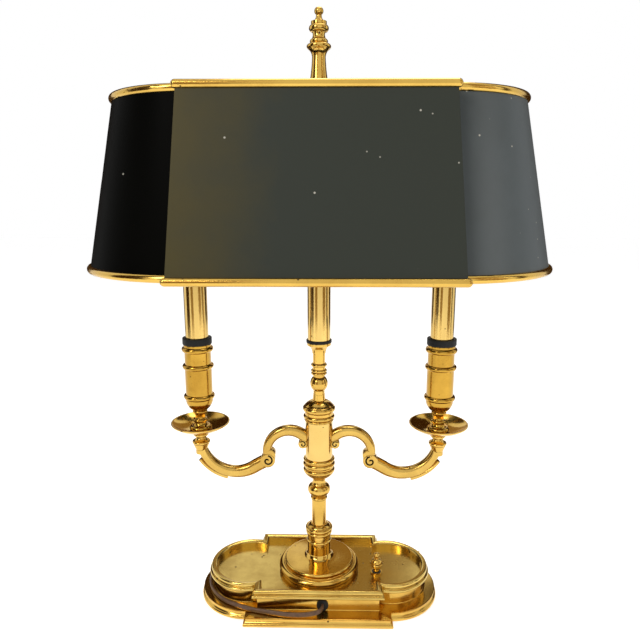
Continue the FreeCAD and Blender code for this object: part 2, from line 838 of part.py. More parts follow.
cap, cap_top = turned("barrel_cap", barrel_top, [
    ("low_ring", "bead"),
    ("mid_ring", "bead"),
    ("groove", "straight"),
    ("top_ring", "bead"),
    ("shoulder", "swell")], pipe_hole_radius)
spindle, spindle_top = turned("spindle", cap_top, [
    ("root", "taper"),
    ("neck", "straight"),
    ("bulb", "belly"),
    ("throat", "straight"),
    ("low_ring", "bead"),
    ("mid_ring", "bead"),
    ("groove", "straight"),
    ("top_ring", "bead")], pipe_hole_radius)
cup, cup_top = turned("centre_cup", spindle_top, [
    ("neck", "straight"),
    ("bell", "cove"),
    ("rim", "straight")], pipe_hole_radius)


def make_barrel():
    """The straight tube that the arms are screwed to, with a hole in each side for the screws."""
    lathe_bore = size.barrel_radius - size.barrel_wall
    points = [(size.barrel_radius, barrel_low), (size.barrel_radius, barrel_top),
              (lathe_bore, barrel_top), (lathe_bore, barrel_low)]
    blank = lathe("barrel_blank", points)
    made.remove(blank)
    drill = cylinder("barrel_drill", size.arm_screw_radius + size.running_fit, size.barrel_radius * 4, -size.barrel_radius * 2,
                     None, barrel_low + size.arm_root_height)
    drill.Placement.Rotation = Rotation(Vector(0, 1, 0), 90)
    keep(joined("Cut", "barrel", [blank, drill]), "barrel")


make_barrel()

# Centre candle, pipe and rod
centre_tube_hole = size.tube_radius + size.running_fit
ring("centre_gasket", cup_top, size.centre_gasket_height, size.centre_gasket_radius,
     centre_tube_hole)
ring("centre_tube", cup_top, size.centre_tube_length, size.tube_radius, size.tube_radius - size.tube_wall)
centre_tube_top = cup_top + size.centre_tube_length
tube_inside = size.tube_radius - size.tube_wall - size.running_fit
lathe("centre_tube_cap", [
    (tube_inside, centre_tube_top - size.tube_cap_spigot),
    (tube_inside, centre_tube_top),
    (size.tube_radius + 0.4, centre_tube_top),
    (size.tube_radius + 0.4, centre_tube_top + size.tube_cap_height * 0.6),
    (size.tube_radius - 1.2, centre_tube_top + size.tube_cap_height),
    (size.rod_radius + size.running_fit, centre_tube_top + size.tube_cap_height),
    (size.rod_radius + size.running_fit, centre_tube_top - size.tube_cap_spigot)])

nut_top = tray_under - size.weight_height
pipe_low = nut_top - size.pipe_nut_height - size.pipe_tail
pipe_top = cup_top + size.pipe_top_stand
rod_low = pipe_top + size.loose_fit
rod_top_of_seat = rod_low + size.rod_rise
ring("centre_pipe", pipe_low, pipe_top - pipe_low, size.pipe_radius, size.pipe_bore)
coupling_low = pipe_top - size.coupling_height / 2
lathe("riser_coupling", [
    (size.coupling_radius, coupling_low),
    (size.coupling_radius, coupling_low + size.coupling_height),
    (size.rod_radius + size.running_fit, coupling_low + size.coupling_height),
    (size.rod_radius + size.running_fit, pipe_top + size.loose_fit / 2),
    (size.pipe_radius + size.running_fit, pipe_top + size.loose_fit / 2),
    (size.pipe_radius + size.running_fit, coupling_low)])
hub_low = rod_top_of_seat
hub_top = hub_low + size.hub_height
finial_low = hub_top
ring("shade_seat", hub_low - size.seat_gap - size.seat_height, size.seat_height, size.seat_radius, size.rod_radius + size.running_fit)
ring("riser_rod", rod_low, size.rod_rise + size.hub_height + size.rod_in_finial, size.rod_radius, size.rod_bore)


def make_pipe_nut():
    """Six-sided nut under the weight that draws the column together."""
    body = doc.addObject("PartDesign::Body", "pipe_nut")
    half = size.pipe_nut_width / 2
    corner = half * (2 / math.sqrt(3))
    low = nut_top - size.pipe_nut_height
    points = [(corner, ZERO), (corner / 2, half), (-corner / 2, half),
              (-corner, ZERO), (-corner / 2, -half), (corner / 2, -half)]
    pad = body.newObject("PartDesign::Pad", "nut_pad")
    pad.Profile = body_sketch(body, "nut_outline", "XY_Plane", points, low)
    pad.setExpression("Length", size.pipe_nut_height.formula)
    bore = body.newObject("PartDesign::SubtractiveCylinder", "nut_bore")
    bore.setExpression("Radius", (size.pipe_radius + size.running_fit).formula)
    bore.setExpression("Height", (size.pipe_nut_height * 10).formula)
    body.Tip = bore
    keep(body, "pipe_nut")


make_pipe_nut()

# Finial
ring("finial_washer", finial_low, size.washer_height, size.washer_radius, size.rod_radius + size.loose_fit)
thread_hole = size.rod_radius + size.running_fit
cone, cone_top = turned("finial_cone", finial_low + size.washer_height + size.seat_gap, [
    ("foot", "straight"),
    ("cone", "slope"),
    ("flare", "cove"),
    ("flange", "bead")], thread_hole)
tip, tip_top = turned("finial_knob", cone_top, [
    ("collar", "bead"),
    ("waist", "cove"),
    ("torus", "bead"),
    ("step", "straight"),
    ("neck", "cove"),
    ("ball", "belly")])

# Arms
arm_root = barrel_low + size.arm_root_height
arch_centre = (size.arch_offset, arm_root - size.arch_drop)


def cast_section(x, z, angle, width, depth):
    """Closed eight-sided section of the casting, square to a path that heads along angle."""
    across = Vector(-math.sin(angle), 0, math.cos(angle))
    side = Vector(0, 1, 0)
    centre = Vector(x, 0, z)
    corners = [(0.5, 0.2), (0.2, 0.5), (-0.2, 0.5), (-0.5, 0.2),
               (-0.5, -0.2), (-0.2, -0.5), (0.2, -0.5), (0.5, -0.2)]
    points = [centre + across * (width * u) + side * (depth * v) for u, v in corners]
    return Part.makePolygon(points + points[:1])


def bent_bar(centre_x, centre_z, radius, angles, widths, depth):
    """A tapering bar bent on an arc in the plane of the arms."""
    sections = []
    count = 7
    for step in range(count):
        share = step / (count - 1)
        angle = angles[0] + (angles[1] - angles[0]) * share
        width = widths[0] + (widths[1] - widths[0]) * share
        x = centre_x + radius * math.cos(angle)
        z = centre_z + radius * math.sin(angle)
        sections.append(cast_section(x, z, angle + math.pi / 2, width, depth))
    return Part.makeLoft(sections, True, False)


def disc_across(x, z, radius, depth):
    """A disc whose axis crosses the plane of the arms."""
    return Part.makeCylinder(radius, depth, Vector(x, -depth / 2, z), Vector(0, 1, 0))


def arm_shape():
    """The left scroll arm as seen from the front, drawn on the +X side; it is mirrored for the left."""
    arch_x = arch_centre[0].value
    arch_z = arch_centre[1].value
    arch = bent_bar(arch_x, arch_z, size.arch_radius.value, (math.radians(142), math.radians(-6)),
                    (size.arch_root_width.value, size.arch_end_width.value), size.arm_depth.value)
    volute_x = arch_x + size.arch_radius.value - 0.8
    volute_z = arch_z - 9
    volute = disc_across(volute_x, volute_z, size.lower_volute_radius.value, size.volute_depth.value)
    heel = disc_across(volute_x - 2.6, volute_z + 6.6, size.heel_radius.value, size.volute_depth.value - 1)
    upper = disc_across(size.barrel_radius.value + 2.6, arm_root.value - 9.6, size.upper_volute_radius.value,
                        size.volute_depth.value)
    sweep_x = size.arm_reach.value - size.sweep_radius.value
    sweep_z = arch_z + 13.4
    sweep = bent_bar(sweep_x, sweep_z, size.sweep_radius.value, (math.radians(-126), math.radians(-12)),
                     (size.sweep_start_width.value, size.sweep_end_width.value), size.arm_depth.value)
    start_x = sweep_x + size.sweep_radius.value * math.cos(math.radians(-126))
    start_z = sweep_z + size.sweep_radius.value * math.sin(math.radians(-126))
    bridge = Part.makeLoft([
        cast_section(volute_x, volute_z - 1, math.radians(-30), size.sweep_start_width.value, size.arm_depth.value),
        cast_section(start_x, start_z, math.radians(-36), size.sweep_start_width.value, size.arm_depth.value)],
        True, False)
    spur = bent_bar(sweep_x - 1, sweep_z + 4, size.sweep_radius.value + 10.6,
                    (math.radians(-78), math.radians(-34)),
                    (size.spur_thickness.value * 1.2, size.spur_thickness.value), size.spur_depth.value)
    end_z = arm_end_top.value - size.arm_end_height.value
    end_boss = Part.makeCylinder(size.arm_end_radius.value, size.arm_end_height.value,
                                 Vector(size.arm_reach.value, 0, end_z))
    solid = arch.fuse([volute, heel, upper, sweep, bridge, spur, end_boss])
    barrel_room = Part.makeCylinder(size.barrel_radius.value, 200, Vector(0, 0, arm_root.value - 100))
    above = Part.makeBox(60, 60, 60, Vector(size.arm_reach.value - 30, -30, arm_end_top.value))
    screw_room = Part.makeCylinder(size.arm_screw_radius.value + size.running_fit.value,
                                   size.barrel_radius.value + size.arm_screw_length.value,
                                   Vector(0, 0, arm_root.value), Vector(1, 0, 0))
    stud_room = Part.makeCylinder(size.stud_radius.value + size.running_fit.value, size.arm_end_height.value + 1,
                                  Vector(size.arm_reach.value, 0, end_z))
    return solid.cut([barrel_room, above, screw_room, stud_room]).removeSplitter()


arm_end_top = arch_centre[1] + size.arm_end_rise


def plain_feature(label, shape, placement=None):
    """A piece whose shape comes from the geometry functions."""
    feature = doc.addObject("Part::Feature", label)
    feature.Shape = shape
    feature.Placement = placement or Placement()
    return keep(feature, label)


right_arm = arm_shape()
left_arm = right_arm.mirror(Vector(0, 0, 0), Vector(1, 0, 0))
plain_feature("left_arm", left_arm)
plain_feature("right_arm", right_arm)


def make_arm_screws():
    """Two screws from inside the barrel into the roots of the arms."""
    screws = []
    inside = size.barrel_radius.value - size.barrel_wall.value
    head_radius = size.arm_screw_radius.value * 1.9
    head_face = math.sqrt(inside ** 2 - head_radius ** 2) - size.arm_screw_head_height.value
    for side in (-1, 1):
        along = Vector(side, 0, 0)
        start = Vector(side * head_face, 0, arm_root.value)
        head = Part.makeCylinder(head_radius, size.arm_screw_head_height.value, start, along)
        shank = Part.makeCylinder(size.arm_screw_radius.value, size.arm_screw_length.value, start, along)
        screws.append(head.fuse(shank))
    plain_feature("arm_screws", Part.makeCompound(screws))


make_arm_screws()


def side_bands(label, low, bands):
    """Bands of a side-light piece, which write their sizes once for both sides."""
    return stacked(label, low, bands)


stud_hole = size.stud_radius + size.running_fit
knop_points, pan_low = side_bands("pan_knop", arm_end_top, [
    ("root", "taper"),
    ("belly", "bead"),
    ("neck", "cove"),
    ("ring", "bead"),
    ("seat", "straight")])
pan_top = pan_low + size.pan_wall
rise_top = pan_low + size.pan_rise
pan_arc = chord_radius(size.pan_radius - size.pan_floor_radius, size.pan_rise, size.pan_rise * 0.16)
pan_points = [
    (stud_hole, pan_low),
    (size.pan_floor_radius, pan_low, pan_arc, True),
    (size.pan_radius, rise_top),
    (size.pan_radius, rise_top + size.pan_wall),
    (size.pan_radius - size.pan_wall, rise_top + size.pan_wall, pan_arc, False),
    (size.pan_floor_radius - size.pan_wall / 2, pan_top),
    (stud_hole, pan_top)]
cup_points, side_cup_top = side_bands("candle_cup", pan_top, [
    ("boss", "bead"),
    ("dip", "cove"),
    ("spool", "bead"),
    ("stem", "cove"),
    ("collar", "bead"),
    ("bell", "swell"),
    ("low_ridge", "bead"),
    ("body", "straight"),
    ("mid_ridge", "bead"),
    ("waist", "straight"),
    ("top_ridge", "bead"),
    ("lip", "straight")])
tube_low = side_cup_top - size.tube_seat_depth
tube_hole = size.tube_radius + size.running_fit
cup_inside = [(tube_hole, side_cup_top), (tube_hole, tube_low), (stud_hole, tube_low), (stud_hole, pan_top)]
gasket_bulge = size.gasket_height * 0.2
gasket_points = [
    (size.gasket_radius - gasket_bulge, side_cup_top, chord_radius(ZERO, size.gasket_height, gasket_bulge), True),
    (size.gasket_radius - gasket_bulge, side_cup_top + size.gasket_height),
    (tube_hole, side_cup_top + size.gasket_height),
    (tube_hole, side_cup_top)]
tube_top = tube_low + size.tube_length
socket_low = tube_top - size.socket_height - 1
stud_low = arm_end_top - size.arm_end_height + 1
stud_top = socket_low + size.socket_floor / 2
bulb_low = socket_low + size.socket_floor + size.loose_fit
bulb_shoulder = bulb_low + size.bulb_base_height
belly_height = bulb_shoulder + size.bulb_height * 0.38

gaskets = []
studs = []
for side, reach in (("left", -size.arm_reach), ("right", size.arm_reach)):
    lathe(side + "_pan_knop", knop_points + [(stud_hole, pan_low), (stud_hole, arm_end_top)], reach)
    lathe(side + "_drip_pan", pan_points, reach)
    lathe(side + "_candle_cup", cup_points + cup_inside, reach)
    gaskets.append(lathe(side + "_gasket", gasket_points, reach))
    ring(side + "_candle_tube", tube_low, size.tube_length, size.tube_radius, size.tube_radius - size.tube_wall, reach)
    studs.append(ring(side + "_stud", stud_low, stud_top - stud_low, size.stud_radius, size.stud_bore, reach))
    lathe(side + "_socket", [
        (size.socket_radius - 1.5, socket_low),
        (size.socket_radius, socket_low + 3),
        (size.socket_radius, socket_low + size.socket_height),
        (size.socket_bore, socket_low + size.socket_height),
        (size.socket_bore, socket_low + size.socket_floor),
        (size.stud_bore, socket_low + size.socket_floor),
        (size.stud_bore, stud_top + size.seat_gap),
        (stud_hole, stud_top + size.seat_gap),
        (stud_hole, socket_low)], reach)
    lathe(side + "_bulb", [
        (ZERO, bulb_low),
        (size.bulb_base_radius, bulb_low + 3),
        (size.bulb_base_radius, bulb_shoulder),
        (size.bulb_neck_radius, bulb_shoulder + 1.5,
         chord_radius(size.bulb_radius - size.bulb_neck_radius, belly_height - bulb_shoulder - 1.5, as_size(2.4)), True),
        (size.bulb_radius, belly_height,
         chord_radius(size.bulb_radius - size.bulb_tip_radius, bulb_shoulder + size.bulb_height - belly_height,
                      as_size(3.4)), True),
        (size.bulb_tip_radius, bulb_shoulder + size.bulb_height),
        (ZERO, bulb_shoulder + size.bulb_height + 0.8)], reach)

for label, pair in (("side_gaskets", gaskets), ("studs", studs)):
    made = [thing for thing in made if thing not in pair]
    both = doc.addObject("Part::Compound", label)
    both.Links = pair
    keep(both, label)

# Switch
switch_low = tray_under - size.switch_body_height
bush_top = tray_floor + size.switch_nut_height + size.seat_gap
lathe("switch_body", [
    (size.switch_body_radius, switch_low),
    (size.switch_body_radius, tray_under),
    (size.switch_bush_radius, tray_under),
    (size.switch_bush_radius, bush_top),
    (size.switch_shaft_radius + size.running_fit, bush_top),
    (size.switch_shaft_radius + size.running_fit, tray_under - size.knob_shaft_depth + 4),
    (ZERO, tray_under - size.knob_shaft_depth + 4),
    (ZERO, switch_low)], size.switch_place_x, size.switch_place_y)
ring("switch_nut", tray_floor, size.switch_nut_height, size.switch_nut_radius, size.switch_bush_radius + size.running_fit,
     size.switch_place_x, size.switch_place_y)
knob_low = bush_top + size.seat_gap
shaft_low = tray_under - size.knob_shaft_depth + 4 + size.seat_gap
shaft_top = knob_low + size.knob_shaft_depth
lathe("switch_shaft", [
    (ZERO, shaft_low), (size.switch_shaft_radius, shaft_low), (size.switch_shaft_radius, shaft_top), (ZERO, shaft_top)],
      size.switch_place_x, size.switch_place_y)
knob_points, knob_top = stacked("switch_knob", knob_low, [
    ("stem", "straight"),
    ("low_body", "swell"),
    ("girdle", "bead"),
    ("body", "swell"),
    ("neck", "straight"),
    ("ball", "belly")])
shaft_hole = size.switch_shaft_radius + size.running_fit
lathe("switch_knob", knob_points + [
    (ZERO, knob_top), (ZERO, shaft_top), (shaft_hole, shaft_top), (shaft_hole, knob_low)],
      size.switch_place_x, size.switch_place_y)

# Shade
low_trim = hub_low + size.shade_top_drop - size.shade_height
top_trim = hub_low + size.shade_top_drop


def lofted(label, low_points, top_points):
    """A sheet wall between two outlines, one at each trim."""
    body = doc.addObject("PartDesign::Body", label)
    low = body_sketch(body, label + "_low", "XY_Plane", low_points, low_trim)
    top = body_sketch(body, label + "_top", "XY_Plane", top_points, top_trim)
    loft = body.newObject("PartDesign::AdditiveLoft", label + "_loft")
    loft.Profile = low
    loft.Sections = [top]
    loft.Ruled = True
    body.Tip = loft
    return keep(body, label)


def panel_outline(half_length, half_depth, side):
    """Front or back sheet with its two short returns; side is -1 in front and 1 behind."""
    outer = half_depth * side
    inner = (half_depth - size.shade_sheet) * side
    back = (half_depth - size.shade_step - size.shade_sheet * 2) * side
    inside = half_length - size.shade_sheet
    return [(-half_length, outer), (half_length, outer), (half_length, back), (inside, back),
            (inside, inner), (-inside, inner), (-inside, back), (-half_length, back)]


def end_outline(half_length, half_depth, side):
    """Round end sheet: an outer and an inner arc about the end's axis, from panel to panel."""
    outer = half_depth - size.shade_step
    inner = outer - size.shade_sheet
    start = half_length - size.shade_end_centre
    outer_y = (outer * outer - start * start).root()
    inner_y = (inner * inner - start * start).root()
    turns_right = side > 0
    return [
        (half_length * side, -outer_y, outer, turns_right),
        ((size.shade_end_centre + outer) * side, ZERO, outer, turns_right),
        (half_length * side, outer_y),
        (half_length * side, inner_y, inner, not turns_right),
        ((size.shade_end_centre + inner) * side, ZERO, inner, not turns_right),
        (half_length * side, -inner_y)]


panels = []
for label, side in (("shade_front", -1), ("shade_back", 1)):
    panels.append(lofted(label, panel_outline(size.panel_low_half_length, size.panel_low_half_depth, side),
                         panel_outline(size.panel_top_half_length, size.panel_top_half_depth, side)))
for label, side in (("shade_left", -1), ("shade_right", 1)):
    panels.append(lofted(label, end_outline(size.panel_low_half_length, size.panel_low_half_depth, side),
                         end_outline(size.panel_top_half_length, size.panel_top_half_depth, side)))
doc.recompute()
panel_shapes = [panel.Shape for panel in panels]


def bead_shape(height, half_length, half_depth):
    """The trim at one edge: two straight rods with round ends and two bent rods round the ends."""
    radius = size.bead_radius.value
    middle = half_depth - size.shade_sheet.value / 2
    rods = []
    for side in (-1, 1):
        start = Vector(-half_length, side * middle, height)
        rod = Part.makeCylinder(radius, 2 * half_length, start, Vector(1, 0, 0))
        caps = [Part.makeSphere(radius, Vector(end * half_length, side * middle, height)) for end in (-1, 1)]
        rods.append(rod.fuse(caps).removeSplitter())
        torus = Part.makeTorus(half_depth - size.shade_step.value - size.shade_sheet.value / 2, radius)
        torus.translate(Vector(side * size.shade_end_centre.value, 0, height))
        reach = 2 * half_depth
        room = Part.makeBox(reach, 2 * reach, 4 * radius,
                            Vector(half_length + 0.1 if side > 0 else -half_length - 0.1 - reach,
                                   -reach, height - 2 * radius))
        rods.append(torus.common(room))
    return Part.makeCompound([rod.cut(panel_shapes) for rod in rods])


top_bead = plain_feature("top_bead", bead_shape(top_trim.value, size.panel_top_half_length.value,
                                                size.panel_top_half_depth.value))
plain_feature("bottom_bead", bead_shape(low_trim.value, size.panel_low_half_length.value,
                                        size.panel_low_half_depth.value))


def make_spider():
    """Hub with four flat arms that reach the top trim."""
    hub = Part.makeCylinder(size.hub_radius.value, size.hub_height.value, Vector(0, 0, hub_low.value))
    width = size.spider_width.value
    low = hub_low.value + (size.hub_height.value - size.spider_thickness.value) / 2
    end_reach = size.shade_end_centre.value + size.panel_top_half_depth.value - size.shade_step.value
    long_arm = Part.makeBox(2 * end_reach, width, size.spider_thickness.value,
                            Vector(-end_reach, -width / 2, low))
    depth_reach = size.panel_top_half_depth.value
    short_arm = Part.makeBox(width, 2 * depth_reach, size.spider_thickness.value,
                             Vector(-width / 2, -depth_reach, low))
    hole = Part.makeCylinder(size.rod_radius.value + size.running_fit.value, size.hub_height.value * 3,
                             Vector(0, 0, hub_low.value - size.hub_height.value))
    solid = hub.fuse([long_arm, short_arm]).cut(hole)
    beyond = solid.cut(panel_shapes + [top_bead.Shape])
    inner = max(beyond.Solids, key=lambda part: part.Volume)
    plain_feature("shade_spider", inner.removeSplitter())


make_spider()

# Cord
cord_half = size.cord_width / 2
frieze_face = size.block_half_depth - size.frieze_setback
grommet_face = -(frieze_face + size.grommet_flange)


def make_grommet():
    """Black bushing in the frieze, with a flange outside and a slot that fits the flat cord."""
    flange = Part.makeCylinder(size.grommet_radius.value, size.grommet_flange.value,
                               Vector(size.cord_exit_x.value, -frieze_face.value, size.cord_exit_height.value),
                               Vector(0, -1, 0))
    neck = Part.makeCylinder(size.grommet_radius.value - size.grommet_flange.value, size.plinth_wall.value + 1,
                             Vector(size.cord_exit_x.value, -frieze_face.value + size.plinth_wall.value + 1,
                                    size.cord_exit_height.value), Vector(0, -1, 0))
    keep_whole = flange.fuse(neck)
    plain_feature("cord_grommet", keep_whole.removeSplitter())


make_grommet()

ledge_lie = size.ledge_height.value - 0.6 + cord_half.value + 0.4
floor_lie = size.hank_lift.value + cord_half.value
hank_pitch = size.cord_thickness.value + size.turn_gap.value
layer_rise = size.cord_width.value + size.turn_gap.value
near_run = size.block_half_depth.value + size.plinth_reach.value + 0.1 + size.cord_thickness.value / 2
hank_middle = near_run + size.hank_inner_radius.value + 2 * hank_pitch

free_route = [
    Vector(size.cord_exit_x.value, grommet_face.value, size.cord_exit_height.value),
    Vector(size.cord_exit_x.value, -59.5, size.cord_exit_height.value),
    Vector(-1.5, -64.2, 18.0),
    Vector(-16, -64.4, 15.6),
    Vector(-34, -62.6, ledge_lie),
    Vector(-51, -59.4, ledge_lie),
    Vector(-68, -56.4, ledge_lie),
    Vector(-83, -50.2, ledge_lie),
    Vector(-98.5, -43.2, ledge_lie),
    Vector(-112, -31.6, ledge_lie),
    Vector(-121.4, -16.4, ledge_lie),
    Vector(-124.6, 1.2, ledge_lie),
    Vector(-121.2, 18.2, ledge_lie),
    Vector(-112, 33.4, ledge_lie),
    Vector(-101.6, 47.2, ledge_lie),
    Vector(-94.2, 60.8, ledge_lie - 1.4),
    Vector(-86.4, 70.6, 8.4),
    Vector(-75, 72.4, 4.4),
    Vector(-63, near_run, floor_lie),
    Vector(-size.hank_half_run.value, near_run, floor_lie)]


def rounded_path(points, note):
    """Straight runs joined by tangent arcs, each as large as its two runs allow."""
    edges = []
    radii = []
    start = points[0]
    for before, corner, after in zip(points, points[1:], points[2:]):
        back = (before - corner)
        ahead = (after - corner)
        shorter = min(back.Length, ahead.Length)
        back.normalize()
        ahead.normalize()
        turn = math.pi - back.getAngle(ahead)
        setback = 0.45 * shorter
        radii.append(setback / math.tan(turn / 2))
        first = corner + back * setback
        last = corner + ahead * setback
        inward = (back + ahead).normalize()
        centre = corner + inward * (setback / math.sin(turn / 2) * 1.0)
        centre = corner + inward * (radii[-1] / math.cos(turn / 2))
        middle = centre - inward * radii[-1]
        edges.append(Part.LineSegment(start, first).toShape())
        edges.append(Part.Arc(first, middle, last).toShape())
        start = last
    edges.append(Part.LineSegment(start, points[-1]).toShape())
    print(note, "bend radii", [round(radius, 1) for radius in radii])
    return Part.Wire(edges)


def cord_section(centre, heading):
    """Flat cord on its edge: two straight sides and two half-round edges."""
    side = Vector(-heading.y, heading.x, 0).normalize()
    up = side.cross(heading).normalize() * -1
    half = size.cord_thickness.value / 2
    straight = cord_half.value - half
    top_left = centre + side * half + up * straight
    top_right = centre - side * half + up * straight
    low_left = centre + side * half - up * straight
    low_right = centre - side * half - up * straight
    edges = [
        Part.LineSegment(low_left, top_left).toShape(),
        Part.Arc(top_left, centre + up * cord_half.value, top_right).toShape(),
        Part.LineSegment(top_right, low_right).toShape(),
        Part.Arc(low_right, centre - up * cord_half.value, low_left).toShape()]
    return Part.Wire(edges)


def swept_cord(path, start, heading, note):
    """The cord's section swept upright along a path, with its volume set against area times length."""
    section = cord_section(start, heading)
    sweep = Part.BRepOffsetAPI.MakePipeShell(path)
    sweep.setBiNormalMode(Vector(0, 0, 1))
    sweep.add(section)
    sweep.build()
    sweep.makeSolid()
    solid = sweep.shape()
    ratio = solid.Volume / (Part.Face(section).Area * path.Length)
    print(note, "length", round(path.Length, 1), "volume ratio", round(ratio, 4))
    return solid


free_path = rounded_path(free_route, "cord_free")
plain_feature("cord_free", swept_cord(free_path, free_route[0], free_route[1] - free_route[0], "cord_free"))


def biarc(start, start_way, end, end_way):
    """Two arcs that join two points and keep their directions."""
    chord = end - start
    ways = start_way + end_way
    square = 2 * (1 - start_way.dot(end_way))
    along = chord.dot(ways)
    if square < 1e-9:
        reach = chord.dot(chord) / (4 * chord.dot(end_way))
    else:
        reach = (-along + math.sqrt(along ** 2 + square * chord.dot(chord))) / square
    first_knee = start + start_way * reach
    last_knee = end - end_way * reach
    middle = (first_knee + last_knee) * 0.5
    middle_way = (last_knee - first_knee).normalize()
    return [tangent_arc(start, start_way, middle), tangent_arc(middle, middle_way, end)]


def tangent_arc(start, way, end):
    """The arc from start, heading along way, to end; a line if it is straight."""
    chord = end - start
    sideways = chord - way * chord.dot(way)
    if sideways.Length < 1e-6 * chord.Length:
        return Part.LineSegment(start, end).toShape()
    angle = way.getAngle(chord)
    sagitta = chord.Length / 2 * math.tan(angle / 2)
    across = (way * chord.Length - chord * math.cos(angle)).normalize()
    middle = (start + end) * 0.5 + across * sagitta
    return Part.Arc(start, middle, end).toShape()


def hank_nodes():
    """Points and headings of the hank: three loops in the lower layer and a last run on top."""
    half = size.hank_half_run.value
    low = floor_lie
    high = floor_lie + layer_rise
    loops = 3
    radii = [size.hank_inner_radius.value + hank_pitch * (loops - 1 - loop) for loop in range(loops)]
    forward = Vector(1, 0, 0)
    backward = Vector(-1, 0, 0)
    outwards = Vector(0, 1, 0)
    nodes = [(Vector(-half, near_run, low), forward)]
    for loop, radius in enumerate(radii):
        near = hank_middle - radius
        far = hank_middle + radius
        last = loop == loops - 1
        end_height = high if last else low
        next_near = near if last else near + hank_pitch
        left_radius = (far - next_near) / 2
        nodes += [
            (Vector(0, near + size.hank_waist.value, low), forward),
            (Vector(half, near, low), forward),
            (Vector(half + radius, hank_middle, low), outwards),
            (Vector(half, far, low), backward),
            (Vector(0, far - size.hank_waist.value, (low + end_height) / 2),
             Vector(-half, 0, (end_height - low) / 2).normalize() if last else backward),
            (Vector(-half, far, end_height), backward),
            (Vector(-half - left_radius, (far + next_near) / 2, end_height), -outwards),
            (Vector(-half, next_near, end_height), forward)]
    near = hank_middle - radii[-1]
    nodes += [
        (Vector(0, near + size.hank_waist.value, high), forward),
        (Vector(half, near, high), forward),
        (Vector(half + radii[0] + 1.5, near, high), forward),
        (plug_back, plug_way)]
    return nodes


plug_back = Vector(87, 71.4, size.seat_gap.value + size.plug_thickness.value / 2)
plug_way = Vector(math.cos(math.radians(size.plug_turn.value)), -math.sin(math.radians(size.plug_turn.value)), 0)


def least_self_gap(wire, sideways, upwards):
    """Least clear distance between two stretches of the cord that are far apart along it."""
    spacing = 2.0
    count = int(wire.Length / spacing)
    points = wire.discretize(count)
    apart = int(30 / spacing)
    least = 1e9
    for place, point in enumerate(points):
        for other in points[place + apart:]:
            flat = math.hypot(point.x - other.x, point.y - other.y) - sideways
            high = abs(point.z - other.z) - upwards
            least = min(least, max(flat, high))
    return least


def make_hank():
    """The cord's put-away length: loops of biarcs in one unbroken tube."""
    nodes = hank_nodes()
    edges = []
    for (start, start_way), (end, end_way) in zip(nodes, nodes[1:]):
        edges += biarc(start, start_way, end, end_way)
    path = Part.Wire(edges)
    start, way = nodes[0]
    solid = swept_cord(path, start, way, "cord_hank")
    gap = least_self_gap(path, size.cord_thickness.value, size.cord_width.value)
    print("cord_hank least gap to itself", round(gap, 2))
    print("whole cord", round(path.Length + free_path.Length, 1))
    plain_feature("cord_hank", solid)


make_hank()


def make_tie():
    """A flat band round the waist of the hank."""
    waist_near = near_run + size.hank_waist.value - size.cord_thickness.value / 2
    waist_far = hank_middle + (hank_middle - near_run) - size.hank_waist.value + size.cord_thickness.value / 2
    room = size.loose_fit.value
    wall = size.tie_thickness.value
    low = size.hank_lift.value - wall - 0.1
    high = floor_lie + layer_rise + cord_half.value + room
    outer = Part.makeBox(size.tie_width.value, waist_far - waist_near + 2 * (room + wall), high + wall - low,
                         Vector(-size.tie_width.value / 2, waist_near - room - wall, low))
    inner = Part.makeBox(size.tie_width.value, waist_far - waist_near + 2 * room, high - low - wall,
                         Vector(-size.tie_width.value / 2, waist_near - room, low + wall))
    plain_feature("cord_tie", outer.cut(inner))


make_tie()


def make_plug():
    """Flat two-blade plug, lying beside the hank and turned towards the lamp."""
    width = size.plug_width.value
    tall = size.plug_thickness.value
    length = size.plug_length.value
    grip = Part.makeLoft([
        Part.makePolygon([Vector(0, -width * 0.28, -tall * 0.36), Vector(0, width * 0.28, -tall * 0.36),
                          Vector(0, width * 0.28, tall * 0.36), Vector(0, -width * 0.28, tall * 0.36),
                          Vector(0, -width * 0.28, -tall * 0.36)]),
        Part.makePolygon([Vector(length * 0.45, -width / 2, -tall / 2), Vector(length * 0.45, width / 2, -tall / 2),
                          Vector(length * 0.45, width / 2, tall / 2), Vector(length * 0.45, -width / 2, tall / 2),
                          Vector(length * 0.45, -width / 2, -tall / 2)])], True, True)
    head = Part.makeBox(length * 0.55, width, tall, Vector(length * 0.45, -width / 2, -tall / 2))
    blades = []
    for side in (-1, 1):
        place = Vector(length, side * size.blade_spacing.value / 2 - size.blade_thickness.value / 2,
                       -size.blade_width.value / 2)
        blades.append(Part.makeBox(size.blade_length.value, size.blade_thickness.value, size.blade_width.value, place))
    solid = grip.fuse([head] + blades).removeSplitter()
    plain_feature("plug", solid, Placement(plug_back, Rotation(Vector(0, 0, 1), -size.plug_turn.value)))


make_plug()

doc.recompute()
for thing in doc.Objects:
    if "Invalid" in thing.State or "Error" in thing.State:
        raise RuntimeError(thing.Name + " failed: " + str(thing.State))
for thing in made:
    if thing.Shape.isNull() or not thing.Shape.isValid():
        raise RuntimeError(thing.Label + " has no valid shape")

os.makedirs("parts", exist_ok=True)
for thing in made:
    thing.Shape.exportStep("parts/" + thing.Label + ".step")
    box = thing.Shape.BoundBox
    print(thing.Label, len(thing.Shape.Solids), "solids", round(thing.Shape.Volume), "mm3",
          [round(edge, 1) for edge in (box.XMin, box.XMax, box.YMin, box.YMax, box.ZMin, box.ZMax)])
print(len(made), "pieces")
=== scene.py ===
# %% [markdown]
# # A bouillotte lamp in polished brass
# The lamp stands on an oblong tray. A turned column rises from it, two scroll arms carry candle
# tubes, and a painted metal shade hangs round them from a rod through the middle. The shapes come
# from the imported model, which this script loads first and never moves. The looks are made here.

import json
import math

import bmesh
import bpy
from mathutils import Matrix, Vector


